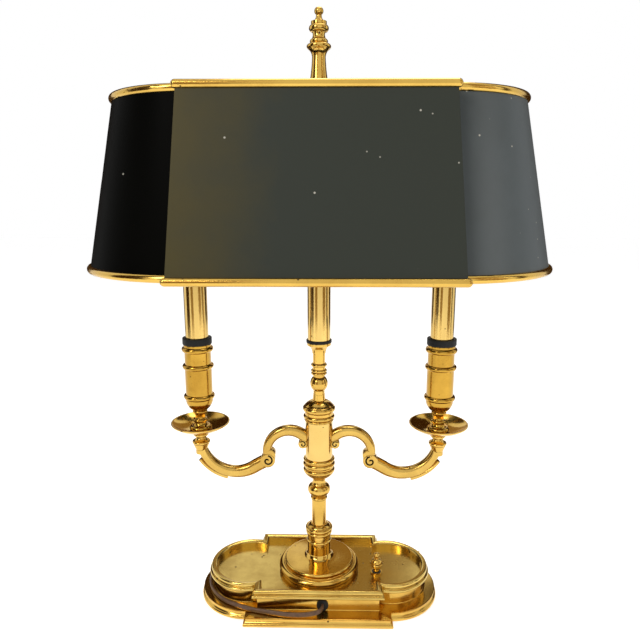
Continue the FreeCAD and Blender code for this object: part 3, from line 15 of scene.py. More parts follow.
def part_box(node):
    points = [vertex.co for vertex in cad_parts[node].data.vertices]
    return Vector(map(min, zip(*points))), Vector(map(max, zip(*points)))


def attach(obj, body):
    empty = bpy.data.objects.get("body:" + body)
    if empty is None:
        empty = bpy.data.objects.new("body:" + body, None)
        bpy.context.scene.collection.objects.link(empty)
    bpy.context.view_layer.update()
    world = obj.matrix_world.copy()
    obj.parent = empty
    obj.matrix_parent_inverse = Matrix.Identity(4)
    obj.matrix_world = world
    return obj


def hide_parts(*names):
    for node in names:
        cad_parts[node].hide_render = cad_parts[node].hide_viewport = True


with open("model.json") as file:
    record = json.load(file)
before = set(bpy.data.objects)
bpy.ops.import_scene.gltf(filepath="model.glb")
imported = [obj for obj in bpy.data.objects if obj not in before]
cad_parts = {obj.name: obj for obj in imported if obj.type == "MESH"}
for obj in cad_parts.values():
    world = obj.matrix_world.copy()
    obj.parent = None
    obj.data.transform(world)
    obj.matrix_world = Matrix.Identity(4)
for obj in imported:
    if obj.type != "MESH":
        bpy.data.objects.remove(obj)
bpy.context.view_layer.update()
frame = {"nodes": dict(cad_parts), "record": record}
nodes = frame["nodes"]
body_of_node = {node: body for body, held in frame["record"]["behaviour"]["bodies"].items() for node in held}
slot_of_node = {part["node"]: part["material_slot"] for part in frame["record"]["subparts"]}

# %% [markdown]
# ## Camera
# The photograph was taken from a little above the shade's lower edge, close to the lamp, with a
# short lens. The place, the tilt and the lens were found by matching the base, the tubes and the
# shade's trims at the same time.

# %% Set the camera
CAMERA_PLACE = Vector((0.0129, -0.6168, 0.4433))
CAMERA_DOWN = math.radians(11.6)
CAMERA_TURN = math.radians(1.1)
camera_data = bpy.data.cameras.new("camera")
camera_data.lens = 33.84
camera_data.sensor_width = 36.0
camera_data.clip_start = 0.01
camera = bpy.data.objects.new("camera", camera_data)
camera.location = CAMERA_PLACE
camera.rotation_euler = (math.pi / 2 - CAMERA_DOWN, 0.0, CAMERA_TURN)
bpy.context.scene.collection.objects.link(camera)
bpy.context.scene.camera = camera
bpy.context.scene.view_settings.view_transform = "Standard"
print("camera at", tuple(round(value, 3) for value in camera.location))

# %% [markdown]
# ## Helpers for meshes
# Every finished piece is a plain mesh whose object sits at the origin, so its place is in its
# points. Shade-smooth with sharp edges by angle gives clean highlights on polished metal.

# %% Mesh helpers


def add_mesh(name, points, faces, sharp_angle=32.0):
    """Make a mesh object with outward faces, smooth except at edges sharper than sharp_angle."""
    mesh = bpy.data.meshes.new(name)
    mesh.from_pydata([tuple(point) for point in points], [], faces)
    return finish_mesh(name, mesh, sharp_angle)


def finish_mesh(name, mesh, sharp_angle=32.0, weld=1e-6):
    """Weld, turn the faces outwards, shade smooth and link a mesh as an object at the origin."""
    work = bmesh.new()
    work.from_mesh(mesh)
    bmesh.ops.remove_doubles(work, verts=work.verts, dist=weld)
    bmesh.ops.recalc_face_normals(work, faces=work.faces)
    work.to_mesh(mesh)
    work.free()
    mesh.shade_smooth()
    mesh.set_sharp_from_angle(angle=math.radians(sharp_angle))
    piece = bpy.data.objects.new(name, mesh)
    bpy.context.scene.collection.objects.link(piece)
    return piece


def joined_mesh(name, parts, sharp_angle=32.0):
    """Join several (points, faces) shells into one object."""
    points = []
    faces = []
    for part_points, part_faces in parts:
        base = len(points)
        points += list(part_points)
        faces += [[index + base for index in face] for face in part_faces]
    return add_mesh(name, points, faces, sharp_angle)


def grid_faces(rows, count, closed=False):
    """Faces round a grid of points, count to a row; its end rows are joined if closed, or else capped."""
    pairs = [(row, row + 1) for row in range(rows - 1)]
    if closed:
        pairs.append((rows - 1, 0))
    faces = []
    for low, high in pairs:
        for step in range(count):
            following = (step + 1) % count
            faces.append((low * count + step, low * count + following,
                          high * count + following, high * count + step))
    if not closed:
        faces.append(tuple(range(count)))
        faces.append(tuple(range((rows - 1) * count, rows * count)))
    return faces


def wear(piece, material, node=None, body=None):
    """Give a piece its material, let it ride, and let it stand for a CAD node where one is named."""
    piece.data.materials.clear()
    piece.data.materials.append(material)
    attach(piece, body or body_of_node[node])
    if node:
        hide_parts(node)
    return piece


print("mesh helpers ready")

# %% [markdown]
# ## Reading a turning's outline from the frame
# A turned piece is the same all round, so its outline can be read where its faces meet, on the half
# plane to the right of its axis. The outline is then turned again with many more steps, and each of
# its edges gets the small rounding that polishing leaves. That rounding is what catches the light.

# %% Outlines


def welded(node):
    """The points and edges of a CAD node's mesh, with its loose triangles joined."""
    mesh = nodes[node].data
    places = {}
    index_of = []
    for vertex in mesh.vertices:
        key = tuple(round(value, 6) for value in vertex.co)
        index_of.append(places.setdefault(key, len(places)))
    points = [Vector(key) for key in places]
    edges = {tuple(sorted((index_of[a], index_of[b]))) for a, b in mesh.edge_keys}
    return points, {edge for edge in edges if edge[0] != edge[1]}


def outline_of(node, flatten):
    """The outline where flatten gives (across, up) for a point, as one ordered run of points.

    Flat rings have no edge there, so loose ends at the same height are joined.
    """
    points, edges = welded(node)
    flat = {index: flatten(point) for index, point in enumerate(points)}
    near = {index: set() for index, place in flat.items() if place is not None}
    for a, b in edges:
        if a in near and b in near:
            near[a].add(b)
            near[b].add(a)
    near = {index: others for index, others in near.items() if others}
    levels = {}
    for index, others in near.items():
        if len(others) == 1:
            levels.setdefault(round(flat[index][1], 6), []).append(index)
    for loose in levels.values():
        loose.sort(key=lambda index: -flat[index][0])
        for a, b in zip(loose[0::2], loose[1::2]):
            near[a].add(b)
            near[b].add(a)
    ends = [index for index, others in near.items() if len(others) == 1]
    start = max(ends or near, key=lambda index: (flat[index][1], flat[index][0]))
    run = [start]
    while True:
        following = [index for index in near[run[-1]] if index not in run]
        if not following:
            break
        run.append(following[0])
    return [flat[index] for index in run], not ends


def rounded(run, closed, size=0.0003, least_turn=22.0):
    """Round each corner of an outline by size, with a support point on the flat beside it."""
    count = len(run)
    result = []
    for place, (across, up) in enumerate(run):
        here = Vector((across, up))
        if not closed and place in (0, count - 1):
            result.append(here)
            continue
        before = Vector(run[place - 1]) - here
        after = Vector(run[(place + 1) % count]) - here
        turn = math.degrees(math.pi - before.angle(after))
        if turn < least_turn:
            result.append(here)
            continue
        setback = min(size, 0.3 * before.length, 0.3 * after.length)
        first = here + before.normalized() * setback
        last = here + after.normalized() * setback
        if before.length > 6 * setback:
            result.append(here + before.normalized() * 2 * setback)
        result.append(first)
        result.append((first + last) * 0.25 + here * 0.5)
        result.append(last)
        if after.length > 6 * setback:
            result.append(here + after.normalized() * 2 * setback)
    return result


def turned_shell(run, closed, axis=(0.0, 0.0), steps=96):
    """Turn an outline about an upright axis; ends on the axis close in a pole."""
    points = []
    rows = []
    for across, up in run:
        if across < 1e-6:
            rows.append([len(points)])
            points.append(Vector((axis[0], axis[1], up)))
            continue
        rows.append(list(range(len(points), len(points) + steps)))
        for step in range(steps):
            angle = 2 * math.pi * step / steps
            points.append(Vector((axis[0] + across * math.cos(angle), axis[1] + across * math.sin(angle), up)))
    faces = []
    pairs = list(zip(rows, rows[1:]))
    if closed:
        pairs.append((rows[-1], rows[0]))
    for low, high in pairs:
        for step in range(steps):
            following = (step + 1) % steps
            corners = [low[step % len(low)], low[following % len(low)],
                       high[following % len(high)], high[step % len(high)]]
            corners = list(dict.fromkeys(corners))
            if len(corners) > 2:
                faces.append(corners)
    return points, faces


def axis_of(node):
    """The upright axis of a turned node, from the middle of its box."""
    low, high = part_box(node)
    return ((low[0] + high[0]) / 2, (low[1] + high[1]) / 2)


def turned_outline(node):
    """The outline of a turned node: (radius, height) from its outer top round to its bore."""
    centre_x, centre_y = axis_of(node)

    def flatten(point):
        if abs(point.y - centre_y) < 2e-6 and point.x > centre_x - 1e-6:
            return (max(point.x - centre_x, 0.0), point.z)
        return None

    run, closed = outline_of(node, flatten)
    if not closed:
        if run[0][0] > 1e-6:
            run.insert(0, (0.0, run[0][1]))
        if run[-1][0] > 1e-6:
            run.append((0.0, run[-1][1]))
    return run, closed


def turn_again(node, material):
    """Remake a turned CAD node as a smooth turning with rounded edges."""
    run, closed = turned_outline(node)
    shell = turned_shell(rounded(run, closed), closed, axis_of(node))
    return wear(add_mesh(node + "_turned", *shell), material, node)


def smooth_copy(node, material):
    """Remake a CAD node as a welded, smoothly shaded mesh of the same shape."""
    return wear(finish_mesh(node + "_smooth", nodes[node].data.copy(), 30.0), material, node)


print("outline helpers ready")

# %% [markdown]
# ## Floor, backdrop and light
# A white floor and a white world stand behind the lamp. Polished metal shows what is around it, so
# a row of tall brown cards stands outside the picture. Only reflections see them: they give the brass
# its dark warm streaks, as flags do in a product studio, and they take no light from the lamp.

# %% Floor and world
FLOOR_HALF = 6.0


def plain_material(name):
    """A new material with only a Principled shader; gives its node tree and the shader."""
    material = bpy.data.materials.new(name)
    material.use_nodes = True
    tree = material.node_tree
    tree.nodes.clear()
    shader = tree.nodes.new("ShaderNodeBsdfPrincipled")
    output = tree.nodes.new("ShaderNodeOutputMaterial")
    tree.links.new(shader.outputs["BSDF"], output.inputs["Surface"])
    return material, tree, shader


def quad(name, corners, material):
    """One flat stage card through four corners."""
    mesh = bpy.data.meshes.new(name)
    mesh.from_pydata([tuple(corner) for corner in corners], [], [(0, 1, 2, 3)])
    card = bpy.data.objects.new(name, mesh)
    mesh.materials.append(material)
    bpy.context.scene.collection.objects.link(card)
    return card


def node_of(tree, kind, feeds=None, **settings):
    """Add a node: settings are its properties or inputs by name, feeds are outputs or values for inputs."""
    node = tree.nodes.new(kind)
    for key, value in settings.items():
        label = key.replace("_", " ").title()
        if hasattr(node, key):
            setattr(node, key, value)
        elif label in node.inputs:
            node.inputs[label].default_value = value
        else:
            raise KeyError(kind + " has no " + key)
    for label, source in (feeds or {}).items():
        if isinstance(source, bpy.types.NodeSocket):
            tree.links.new(source, node.inputs[label])
        else:
            node.inputs[label].default_value = source
    return node


def maths(tree, operation, *values):
    """The result of a Math node on values that are numbers or other nodes' outputs."""
    return node_of(tree, "ShaderNodeMath", dict(enumerate(values)), operation=operation).outputs[0]


def white_mask(tree):
    """A mask of the rays that see plain white: from the camera, and on from gloss and from glass."""
    rays = tree.nodes.new("ShaderNodeLightPath").outputs
    either = maths(tree, "MAXIMUM", rays["Is Camera Ray"], rays["Is Glossy Ray"])
    return maths(tree, "MAXIMUM", either, rays["Is Transmission Ray"])


FLOOR_GLOW = 0.62
WORLD_ON_LAMP = 0.35
FLOOR_DROP = -0.0004
floor_material, floor_tree, floor_shader = plain_material("floor_white")
floor_shader.inputs["Base Color"].default_value = (0.93, 0.93, 0.93, 1.0)
floor_shader.inputs["Roughness"].default_value = 0.9
floor_shader.inputs["Emission Color"].default_value = (1.0, 1.0, 1.0, 1.0)
floor_glow = maths(floor_tree, "MULTIPLY", white_mask(floor_tree), FLOOR_GLOW)
floor_tree.links.new(floor_glow, floor_shader.inputs["Emission Strength"])
quad("floor", [(x * FLOOR_HALF, y * FLOOR_HALF, FLOOR_DROP) for x, y in ((-1, -1), (1, -1), (1, 1), (-1, 1))],
     floor_material)

world = bpy.data.worlds.new("studio")
bpy.context.scene.world = world
world.use_nodes = True
world_tree = world.node_tree
world_back = world_tree.nodes["Background"]
world_back.inputs["Color"].default_value = (1.0, 1.0, 1.0, 1.0)
world_light = node_of(world_tree, "ShaderNodeMapRange", {
    "Value": white_mask(world_tree), "To Min": WORLD_ON_LAMP, "To Max": 1.0})
world_tree.links.new(world_light.outputs["Result"], world_back.inputs["Strength"])
print("floor and world ready")

# %% Lights and reflection cards


def area_light(name, place, target, size, watts, colour=(1.0, 0.98, 0.95)):
    """A square soft light that looks at a point."""
    data = bpy.data.lights.new(name, "AREA")
    data.size = size
    data.energy = watts
    data.color = colour
    light = bpy.data.objects.new(name, data)
    light.location = place
    light.rotation_euler = (Vector(target) - Vector(place)).to_track_quat("-Z", "Y").to_euler()
    bpy.context.scene.collection.objects.link(light)
    return light


LAMP_MIDDLE = (0.0, 0.0, 0.28)
area_light("key_light", (-0.9, -1.3, 1.3), LAMP_MIDDLE, 0.7, 16)
area_light("fill_light", (1.3, -0.9, 0.8), LAMP_MIDDLE, 0.6, 9)
area_light("top_light", (0.1, 0.5, 1.7), LAMP_MIDDLE, 0.8, 8)

CARD_DISTANCE = 1.5
CARD_LOW = -0.05
CARD_TALL = 2.4
DARK_CARD = (0.050, 0.022, 0.006)
WARM_CARD = (0.36, 0.24, 0.10)
CARDS = ((-176, -142, DARK_CARD), (-128, -104, WARM_CARD), (-52, -24, WARM_CARD), (-14, -4, DARK_CARD),
         (28, 66, DARK_CARD), (78, 96, WARM_CARD), (110, 146, DARK_CARD))


def card_finish(name, colour):
    """A card that shows one plain colour, whatever light falls on it."""
    material, tree, shader = plain_material(name)
    shader.inputs["Base Color"].default_value = (0.0, 0.0, 0.0, 1.0)
    shader.inputs["Roughness"].default_value = 1.0
    shader.inputs["Specular IOR Level"].default_value = 0.0
    shader.inputs["Emission Color"].default_value = (*colour, 1.0)
    shader.inputs["Emission Strength"].default_value = 1.0
    return material


card_finishes = {DARK_CARD: card_finish("dark_card", DARK_CARD), WARM_CARD: card_finish("warm_card", WARM_CARD)}
for number, (start, end, colour) in enumerate(CARDS):
    corners = []
    for angle, height in ((start, CARD_LOW), (end, CARD_LOW), (end, CARD_TALL), (start, CARD_TALL)):
        turn = math.radians(angle)
        corners.append((CARD_DISTANCE * math.cos(turn), CARD_DISTANCE * math.sin(turn), height))
    card = quad("reflection_card_" + str(number), corners, card_finishes[colour])
    card.visible_camera = False
    card.visible_diffuse = False
    card.visible_transmission = False
    card.visible_volume_scatter = False
    card.visible_shadow = False
print("reflection cards", len(CARDS))

# %% [markdown]
# ## Finishes
# Old polished brass is never one colour: it has cloudy warmer patches, small dark spots and fine
# scratches. One node group makes all three, and each brass material sets how much of each it has.

# %% Material helpers


def noise(tree, place, scale, detail, roughness=0.5):
    """Noise on a piece's own coordinates."""
    return node_of(tree, "ShaderNodeTexNoise", {"Vector": place}, scale=scale, detail=detail,
                   roughness=roughness).outputs["Fac"]


def blended(tree, amount, under, over):
    """One colour laid over another by an amount."""
    return node_of(tree, "ShaderNodeMix", {"Factor": amount, 6: under, 7: over}, data_type="RGBA").outputs[2]


def ramp_of(tree, source, stops):
    """The colour that a source takes on a ramp with (position, grey or colour) stops."""
    node = node_of(tree, "ShaderNodeValToRGB", {"Fac": source})
    ramp = node.color_ramp
    while len(ramp.elements) < len(stops):
        ramp.elements.new(0.5)
    for element, (position, colour) in zip(ramp.elements, stops):
        element.position = position
        element.color = (colour, colour, colour, 1.0) if isinstance(colour, float) else (*colour, 1.0)
    return node.outputs["Color"]


def group_with(name, inputs, outputs):
    """A new shader node group; gives the tree, the sockets it reads and the sockets it fills."""
    tree = bpy.data.node_groups.new(name, "ShaderNodeTree")
    for label, kind, value in inputs:
        socket = tree.interface.new_socket(name=label, in_out="INPUT", socket_type=kind)
        socket.default_value = value
    for label, kind in outputs:
        tree.interface.new_socket(name=label, in_out="OUTPUT", socket_type=kind)
    return tree, tree.nodes.new("NodeGroupInput").outputs, tree.nodes.new("NodeGroupOutput").inputs


def place_group(tree, group, values):
    """Put a node group in a material, set its inputs and give its outputs."""
    node = tree.nodes.new("ShaderNodeGroup")
    node.node_tree = group
    for label, value in values.items():
        node.inputs[label].default_value = value
    return node.outputs


# %% Brass finish group
patina, patina_in, patina_out = group_with(
    "patina",
    [("Clean", "NodeSocketColor", (0.80, 0.52, 0.17, 1.0)),
     ("Tarnish", "NodeSocketColor", (0.42, 0.22, 0.055, 1.0)),
     ("Spot", "NodeSocketColor", (0.10, 0.055, 0.02, 1.0)),
     ("Cloud Amount", "NodeSocketFloat", 0.35),
     ("Spot Amount", "NodeSocketFloat", 0.2),
     ("Spot Scale", "NodeSocketFloat", 160.0),
     ("Polish", "NodeSocketFloat", 0.12)],
    [("Color", "NodeSocketColor"), ("Roughness", "NodeSocketFloat"), ("Height", "NodeSocketFloat")])
place = node_of(patina, "ShaderNodeTexCoord").outputs["Object"]
clouds = noise(patina, place, 24.0, 5.0, 0.6)
cloud_shape = ramp_of(patina, clouds, [(0.42, 0.0), (0.72, 1.0)])
cloud_mask = maths(patina, "MULTIPLY", cloud_shape, patina_in["Cloud Amount"])
tinted = blended(patina, cloud_mask, patina_in["Clean"], patina_in["Tarnish"])

spot_cells = node_of(patina, "ShaderNodeTexVoronoi", {"Vector": place, "Scale": patina_in["Spot Scale"]})
spot_reach = maths(patina, "MULTIPLY_ADD", noise(patina, place, 90.0, 2.0), 0.55, -0.18)
spot_near = maths(patina, "SUBTRACT", spot_reach, spot_cells.outputs["Distance"])
spot_shape = ramp_of(patina, spot_near, [(0.0, 0.0), (0.05, 1.0)])
spot_few = maths(patina, "SUBTRACT", noise(patina, place, 60.0, 3.0), 0.55)
spot_more = maths(patina, "ADD", spot_few, maths(patina, "MULTIPLY", patina_in["Spot Amount"], 0.25))
spot_on = ramp_of(patina, spot_more, [(0.0, 0.0), (0.04, 1.0)])
spot_mask = maths(patina, "MULTIPLY", spot_shape, spot_on)
spotted = blended(patina, spot_mask, tinted, patina_in["Spot"])
patina.links.new(spotted, patina_out["Color"])

scratches = noise(patina, place, 700.0, 2.0)
rough_scratches = maths(patina, "MULTIPLY_ADD", scratches, 0.08, patina_in["Polish"])
rough_spots = maths(patina, "MULTIPLY_ADD", spot_mask, 0.4, rough_scratches)
rough_clouds = maths(patina, "MULTIPLY_ADD", cloud_mask, 0.18, rough_spots)
patina.links.new(rough_clouds, patina_out["Roughness"])
patina.links.new(maths(patina, "MULTIPLY_ADD", clouds, 0.6, scratches), patina_out["Height"])
print("patina group ready")

# %% Brass materials


def feed_shader(tree, shader, colour, roughness, height, strength, distance):
    """Feed a shader's colour, roughness and fine relief."""
    relief = node_of(tree, "ShaderNodeBump", {"Height": height}, strength=strength, distance=distance)
    tree.links.new(colour, shader.inputs["Base Color"])
    tree.links.new(roughness, shader.inputs["Roughness"])
    tree.links.new(relief.outputs["Normal"], shader.inputs["Normal"])


def brass(name, clean, tarnish, clouds_amount, spots, spot_scale=160.0, polish=0.1, bump=0.02):
    """A brass material from the shared patina group with its own values."""
    material, tree, shader = plain_material(name)
    finish = place_group(tree, patina, {
        "Clean": (*clean, 1.0), "Tarnish": (*tarnish, 1.0), "Cloud Amount": clouds_amount,
        "Spot Amount": spots, "Spot Scale": spot_scale, "Polish": polish})
    feed_shader(tree, shader, finish["Color"], finish["Roughness"], finish["Height"], bump, 0.0006)
    shader.inputs["Metallic"].default_value = 1.0
    return material


turned_brass = brass("turned_brass", (0.68, 0.43, 0.095), (0.34, 0.17, 0.022), 0.5, 0.14)
cup_brass = brass("cup_brass", (0.52, 0.30, 0.045), (0.26, 0.12, 0.012), 0.55, 0.24)
tube_brass = brass("tube_brass", (0.70, 0.48, 0.15), (0.46, 0.25, 0.05), 0.25, 0.05, polish=0.07)
tray_brass = brass("tray_brass", (0.66, 0.47, 0.13), (0.38, 0.23, 0.045), 0.65, 0.85, 120.0, 0.13, 0.05)
cast_brass = brass("cast_brass", (0.62, 0.40, 0.095), (0.30, 0.15, 0.022), 0.5, 0.25, 200.0, 0.12, 0.08)
trim_brass = brass("trim_brass", (0.66, 0.42, 0.09), (0.38, 0.19, 0.03), 0.4, 0.10, polish=0.12)
frame_brass = brass("frame_brass", (0.60, 0.42, 0.18), (0.32, 0.19, 0.06), 0.6, 0.3, polish=0.35)
print("brass materials ready")

# %% [markdown]
# ## Paint, rubber, plastic and the rest
# The shade is sheet metal under old satin paint, which has lost small chips down to pale metal. Its
# colour shifts along x from one tone to another: partly real fading, partly painted reflection of the
# light and the dark round the lamp. The rubber gaskets, the cord, the felt and the bulbs get plainer
# finishes, but each still has its own grain.

# %% Painted shade
paint_wear, paint_in, paint_out = group_with(
    "paint_wear",
    [("Paint", "NodeSocketColor", (0.02, 0.02, 0.015, 1.0)),
     ("Faded And Reflecting", "NodeSocketColor", (0.045, 0.052, 0.045, 1.0)),
     ("Chip", "NodeSocketColor", (0.42, 0.40, 0.34, 1.0)),
     ("Fade And Reflection Start", "NodeSocketFloat", -0.05),
     ("Fade And Reflection End", "NodeSocketFloat", 0.12)],
    [("Color", "NodeSocketColor"), ("Roughness", "NodeSocketFloat"), ("Height", "NodeSocketFloat")])
place = node_of(paint_wear, "ShaderNodeTexCoord").outputs["Object"]
along = node_of(paint_wear, "ShaderNodeSeparateXYZ", {"Vector": place}).outputs["X"]
mottle = noise(paint_wear, place, 9.0, 6.0, 0.62)
drift = maths(paint_wear, "MULTIPLY_ADD", mottle, 0.16, along)
# Along x the paint turns from its first colour to its second, partly real fading and partly painted reflection.
fade_and_reflection = node_of(paint_wear, "ShaderNodeMapRange", {
    "Value": drift, "From Min": paint_in["Fade And Reflection Start"], "From Max": paint_in["Fade And Reflection End"]})
paint_fade_and_reflection = blended(paint_wear, fade_and_reflection.outputs["Result"], paint_in["Paint"], paint_in["Faded And Reflecting"])

chip_cells = node_of(paint_wear, "ShaderNodeTexVoronoi", {"Vector": place}, scale=95.0).outputs
chip_shape = ramp_of(paint_wear, chip_cells["Distance"], [(0.06, 1.0), (0.10, 0.0)])
chip_lot = node_of(paint_wear, "ShaderNodeSeparateColor", {"Color": chip_cells["Color"]})
chip_odds = node_of(paint_wear, "ShaderNodeMapRange", {
    "Value": drift, "From Min": 0.0, "From Max": 0.26, "To Min": 0.97, "To Max": 0.70})
chip_on = maths(paint_wear, "GREATER_THAN", chip_lot.outputs["Red"], chip_odds.outputs["Result"])
chip_mask = maths(paint_wear, "MULTIPLY", chip_shape, chip_on)
chipped = blended(paint_wear, chip_mask, paint_fade_and_reflection, paint_in["Chip"])
paint_wear.links.new(chipped, paint_out["Color"])

paint_rough = maths(paint_wear, "MULTIPLY_ADD", mottle, 0.22, 0.32)
paint_wear.links.new(paint_rough, paint_out["Roughness"])
paint_relief = maths(paint_wear, "SUBTRACT", noise(paint_wear, place, 420.0, 3.0), chip_mask)
paint_wear.links.new(paint_relief, paint_out["Height"])


def painted(name, paint, faded_and_reflecting, fade_and_reflection_start, fade_and_reflection_end, shine):
    """Satin paint over sheet metal, from the shared group of wear and painted reflection."""
    material, tree, shader = plain_material(name)
    finish = place_group(tree, paint_wear, {
        "Paint": (*paint, 1.0), "Faded And Reflecting": (*faded_and_reflecting, 1.0), "Fade And Reflection Start": fade_and_reflection_start, "Fade And Reflection End": fade_and_reflection_end})
    feed_shader(tree, shader, finish["Color"], finish["Roughness"], finish["Height"], 0.06, 0.0004)
    shader.inputs["Specular IOR Level"].default_value = shine
    return material


centre_paint = painted("centre_paint", (0.080, 0.061, 0.016), (0.034, 0.038, 0.031), -0.10, 0.05, 0.08)
# The ends are copies of the paint with light and shade painted in: the left end near-black as painted shade, the
# right end lighter and bluer as painted reflection of light.
left_paint_shaded = painted("left_paint_shaded", (0.0012, 0.0012, 0.0010), (0.003, 0.003, 0.0024), -0.20, 0.10, 0.01)
right_paint_lit = painted("right_paint_lit", (0.044, 0.050, 0.048), (0.080, 0.092, 0.096), 0.12, 0.26, 0.12)
print("paint ready")

# %% Rubber, plastic, felt, steel and glass


def grainy(name, colour, roughness, grain_scale, grain_amount, bump=0.1, metallic=0.0, shine=0.5):
    """A finish of one colour with a fine grain in its colour, gloss and surface."""
    material, tree, shader = plain_material(name)
    place = node_of(tree, "ShaderNodeTexCoord").outputs["Object"]
    grain = noise(tree, place, grain_scale, 4.0)
    dark = tuple(value * (1.0 - grain_amount) for value in colour)
    light = tuple(min(1.0, value * (1.0 + grain_amount)) for value in colour)
    shades = ramp_of(tree, grain, [(0.3, dark), (0.7, light)])
    feed_shader(tree, shader, shades, maths(tree, "MULTIPLY_ADD", grain, 0.12, roughness), grain, bump, 0.0004)
    shader.inputs["Metallic"].default_value = metallic
    shader.inputs["Specular IOR Level"].default_value = shine
    return material


black_rubber = grainy("black_rubber", (0.010, 0.010, 0.010), 0.45, 900.0, 0.3, shine=0.2)
black_plastic = grainy("black_plastic", (0.02, 0.02, 0.02), 0.35, 700.0, 0.2)
brown_plastic = grainy("brown_plastic", (0.055, 0.030, 0.016), 0.3, 600.0, 0.2)
cord_plastic = grainy("cord_plastic", (0.105, 0.052, 0.026), 0.3, 260.0, 0.3, shine=0.35)
green_felt = grainy("green_felt", (0.02, 0.045, 0.02), 0.85, 1400.0, 0.5, bump=0.6)
zinc_steel = grainy("zinc_steel", (0.55, 0.55, 0.52), 0.3, 300.0, 0.15, metallic=1.0)
cast_iron = grainy("cast_iron", (0.06, 0.06, 0.06), 0.6, 400.0, 0.3, bump=0.5, metallic=1.0)
groove_black = grainy("groove_black", (0.006, 0.004, 0.002), 0.7, 900.0, 0.4, shine=0.05)
bulb_glass = grainy("bulb_glass", (0.86, 0.84, 0.79), 0.25, 80.0, 0.03, bump=0.02)
bulb_glass.node_tree.nodes["Principled BSDF"].inputs["Subsurface Weight"].default_value = 0.3
bulb_glass.node_tree.nodes["Principled BSDF"].inputs["Subsurface Radius"].default_value = (0.004, 0.004, 0.004)
print("other finishes ready")

finish_of_slot = {
    "polished_brass": turned_brass, "raw_brass": frame_brass, "painted_shade": centre_paint,
    "iron": cast_iron, "plated_steel": zinc_steel, "felt": green_felt, "black_rubber": black_rubber,
    "black_plastic": black_plastic, "brown_plastic": brown_plastic, "brown_cord": cord_plastic,
    "frosted_glass": bulb_glass}
for node, carried in nodes.items():
    carried.data.materials.clear()
    carried.data.materials.append(finish_of_slot[slot_of_node[node]])
print("CAD nodes dressed", len(nodes))

# %% [markdown]
# ## The cord
# A flat brown lamp cord leaves a black bushing in the front of the base, runs left along the ledge,
# round the end of the base, and lies folded in a hank behind it, where the lamp hides it. Its line is
# one smooth spline through points given here; the hank's loops come from a formula. The flat
# section stays upright, so it is swept here rather than by a curve's bevel.

# %% Cord route
CORD_WIDTH = 0.0052
CORD_THICKNESS = 0.0027
CORD_EXIT = (0.0047, -0.0541, 0.0190)
LEDGE_LIE = 0.0148
FLOOR_LIE = 0.0031
cord_points = [
    CORD_EXIT,
    (0.0047, -0.0595, 0.0190),
    (-0.0015, -0.0642, 0.0180),
    (-0.0160, -0.0644, 0.0156),
    (-0.0340, -0.0626, LEDGE_LIE),
    (-0.0510, -0.0594, LEDGE_LIE),
    (-0.0680, -0.0564, LEDGE_LIE),
    (-0.0830, -0.0502, LEDGE_LIE),
    (-0.0985, -0.0432, LEDGE_LIE),
    (-0.1120, -0.0316, LEDGE_LIE),
    (-0.1214, -0.0164, LEDGE_LIE),
    (-0.1246, 0.0012, LEDGE_LIE),
    (-0.1212, 0.0182, LEDGE_LIE),
    (-0.1120, 0.0334, LEDGE_LIE),
    (-0.1016, 0.0472, LEDGE_LIE),
    (-0.0942, 0.0608, 0.0134),
    (-0.0864, 0.0706, 0.0084),
    (-0.0750, 0.0724, 0.0044),
    (-0.0630, 0.06795, FLOOR_LIE)]

HANK_HALF_RUN = 0.050
HANK_NEAR = 0.06795
HANK_INNER_RADIUS = 0.0106
HANK_PITCH = CORD_THICKNESS + 0.00045
HANK_RISE = CORD_WIDTH + 0.00045
HANK_WAIST = 0.004
HANK_LOOPS = 3
hank_middle = HANK_NEAR + HANK_INNER_RADIUS + 2 * HANK_PITCH


def hank_run(side, low_x, high_x, start, end, heights):
    """Control points of one run: drawn in towards the middle at the waist, where the tie is."""
    run = []
    for share in (0.0, 0.2, 0.38, 0.5, 0.62, 0.8, 1.0):
        x = low_x + (high_x - low_x) * share
        drawn = HANK_WAIST * 0.5 * (1 + math.cos(math.pi * x / HANK_HALF_RUN))
        y = start + (end - start) * share
        run.append((x, y + drawn * side, heights[0] + (heights[1] - heights[0]) * share))
    return run


def hank_end(x, middle, radius, towards, height):
    """Control points of a half turn: they stand on the tangents between eighths of a circle."""
    turn = []
    for step in (-67.5, -22.5, 22.5, 67.5):
        angle = math.radians(step) * towards
        reach = radius / math.cos(math.radians(22.5))
        turn.append((x + towards * reach * math.cos(angle), middle + reach * math.sin(angle), height))
    return turn


for loop in range(HANK_LOOPS):
    radius = HANK_INNER_RADIUS + HANK_PITCH * (HANK_LOOPS - 1 - loop)
    last = loop == HANK_LOOPS - 1
    near = hank_middle - radius
    far = hank_middle + radius
    high = FLOOR_LIE + HANK_RISE if last else FLOOR_LIE
    following = near if last else near + HANK_PITCH
    half = HANK_HALF_RUN
    cord_points += hank_run(1, -half, half, near, near, (FLOOR_LIE, FLOOR_LIE))
    cord_points += hank_end(half, hank_middle, radius, 1, FLOOR_LIE)
    cord_points += hank_run(-1, half, -half, far, far, (FLOOR_LIE, high))
    cord_points += hank_end(-half, (far + following) / 2, (far - following) / 2, -1, high)
top_layer = FLOOR_LIE + HANK_RISE
near = hank_middle - HANK_INNER_RADIUS
cord_points += hank_run(1, -HANK_HALF_RUN, HANK_HALF_RUN, near, near, (top_layer, top_layer))
PLUG_BACK = Vector((0.0870, 0.0714, 0.0053))
PLUG_TURN = math.radians(-20.0)
plug_way = Vector((math.cos(PLUG_TURN), math.sin(PLUG_TURN), 0.0))
cord_points += [(0.0600, near, top_layer), (0.0690, near, top_layer - 0.0003),
                tuple(PLUG_BACK - plug_way * 0.008), tuple(PLUG_BACK)]
print("cord points", len(cord_points))

# %% Cord mesh


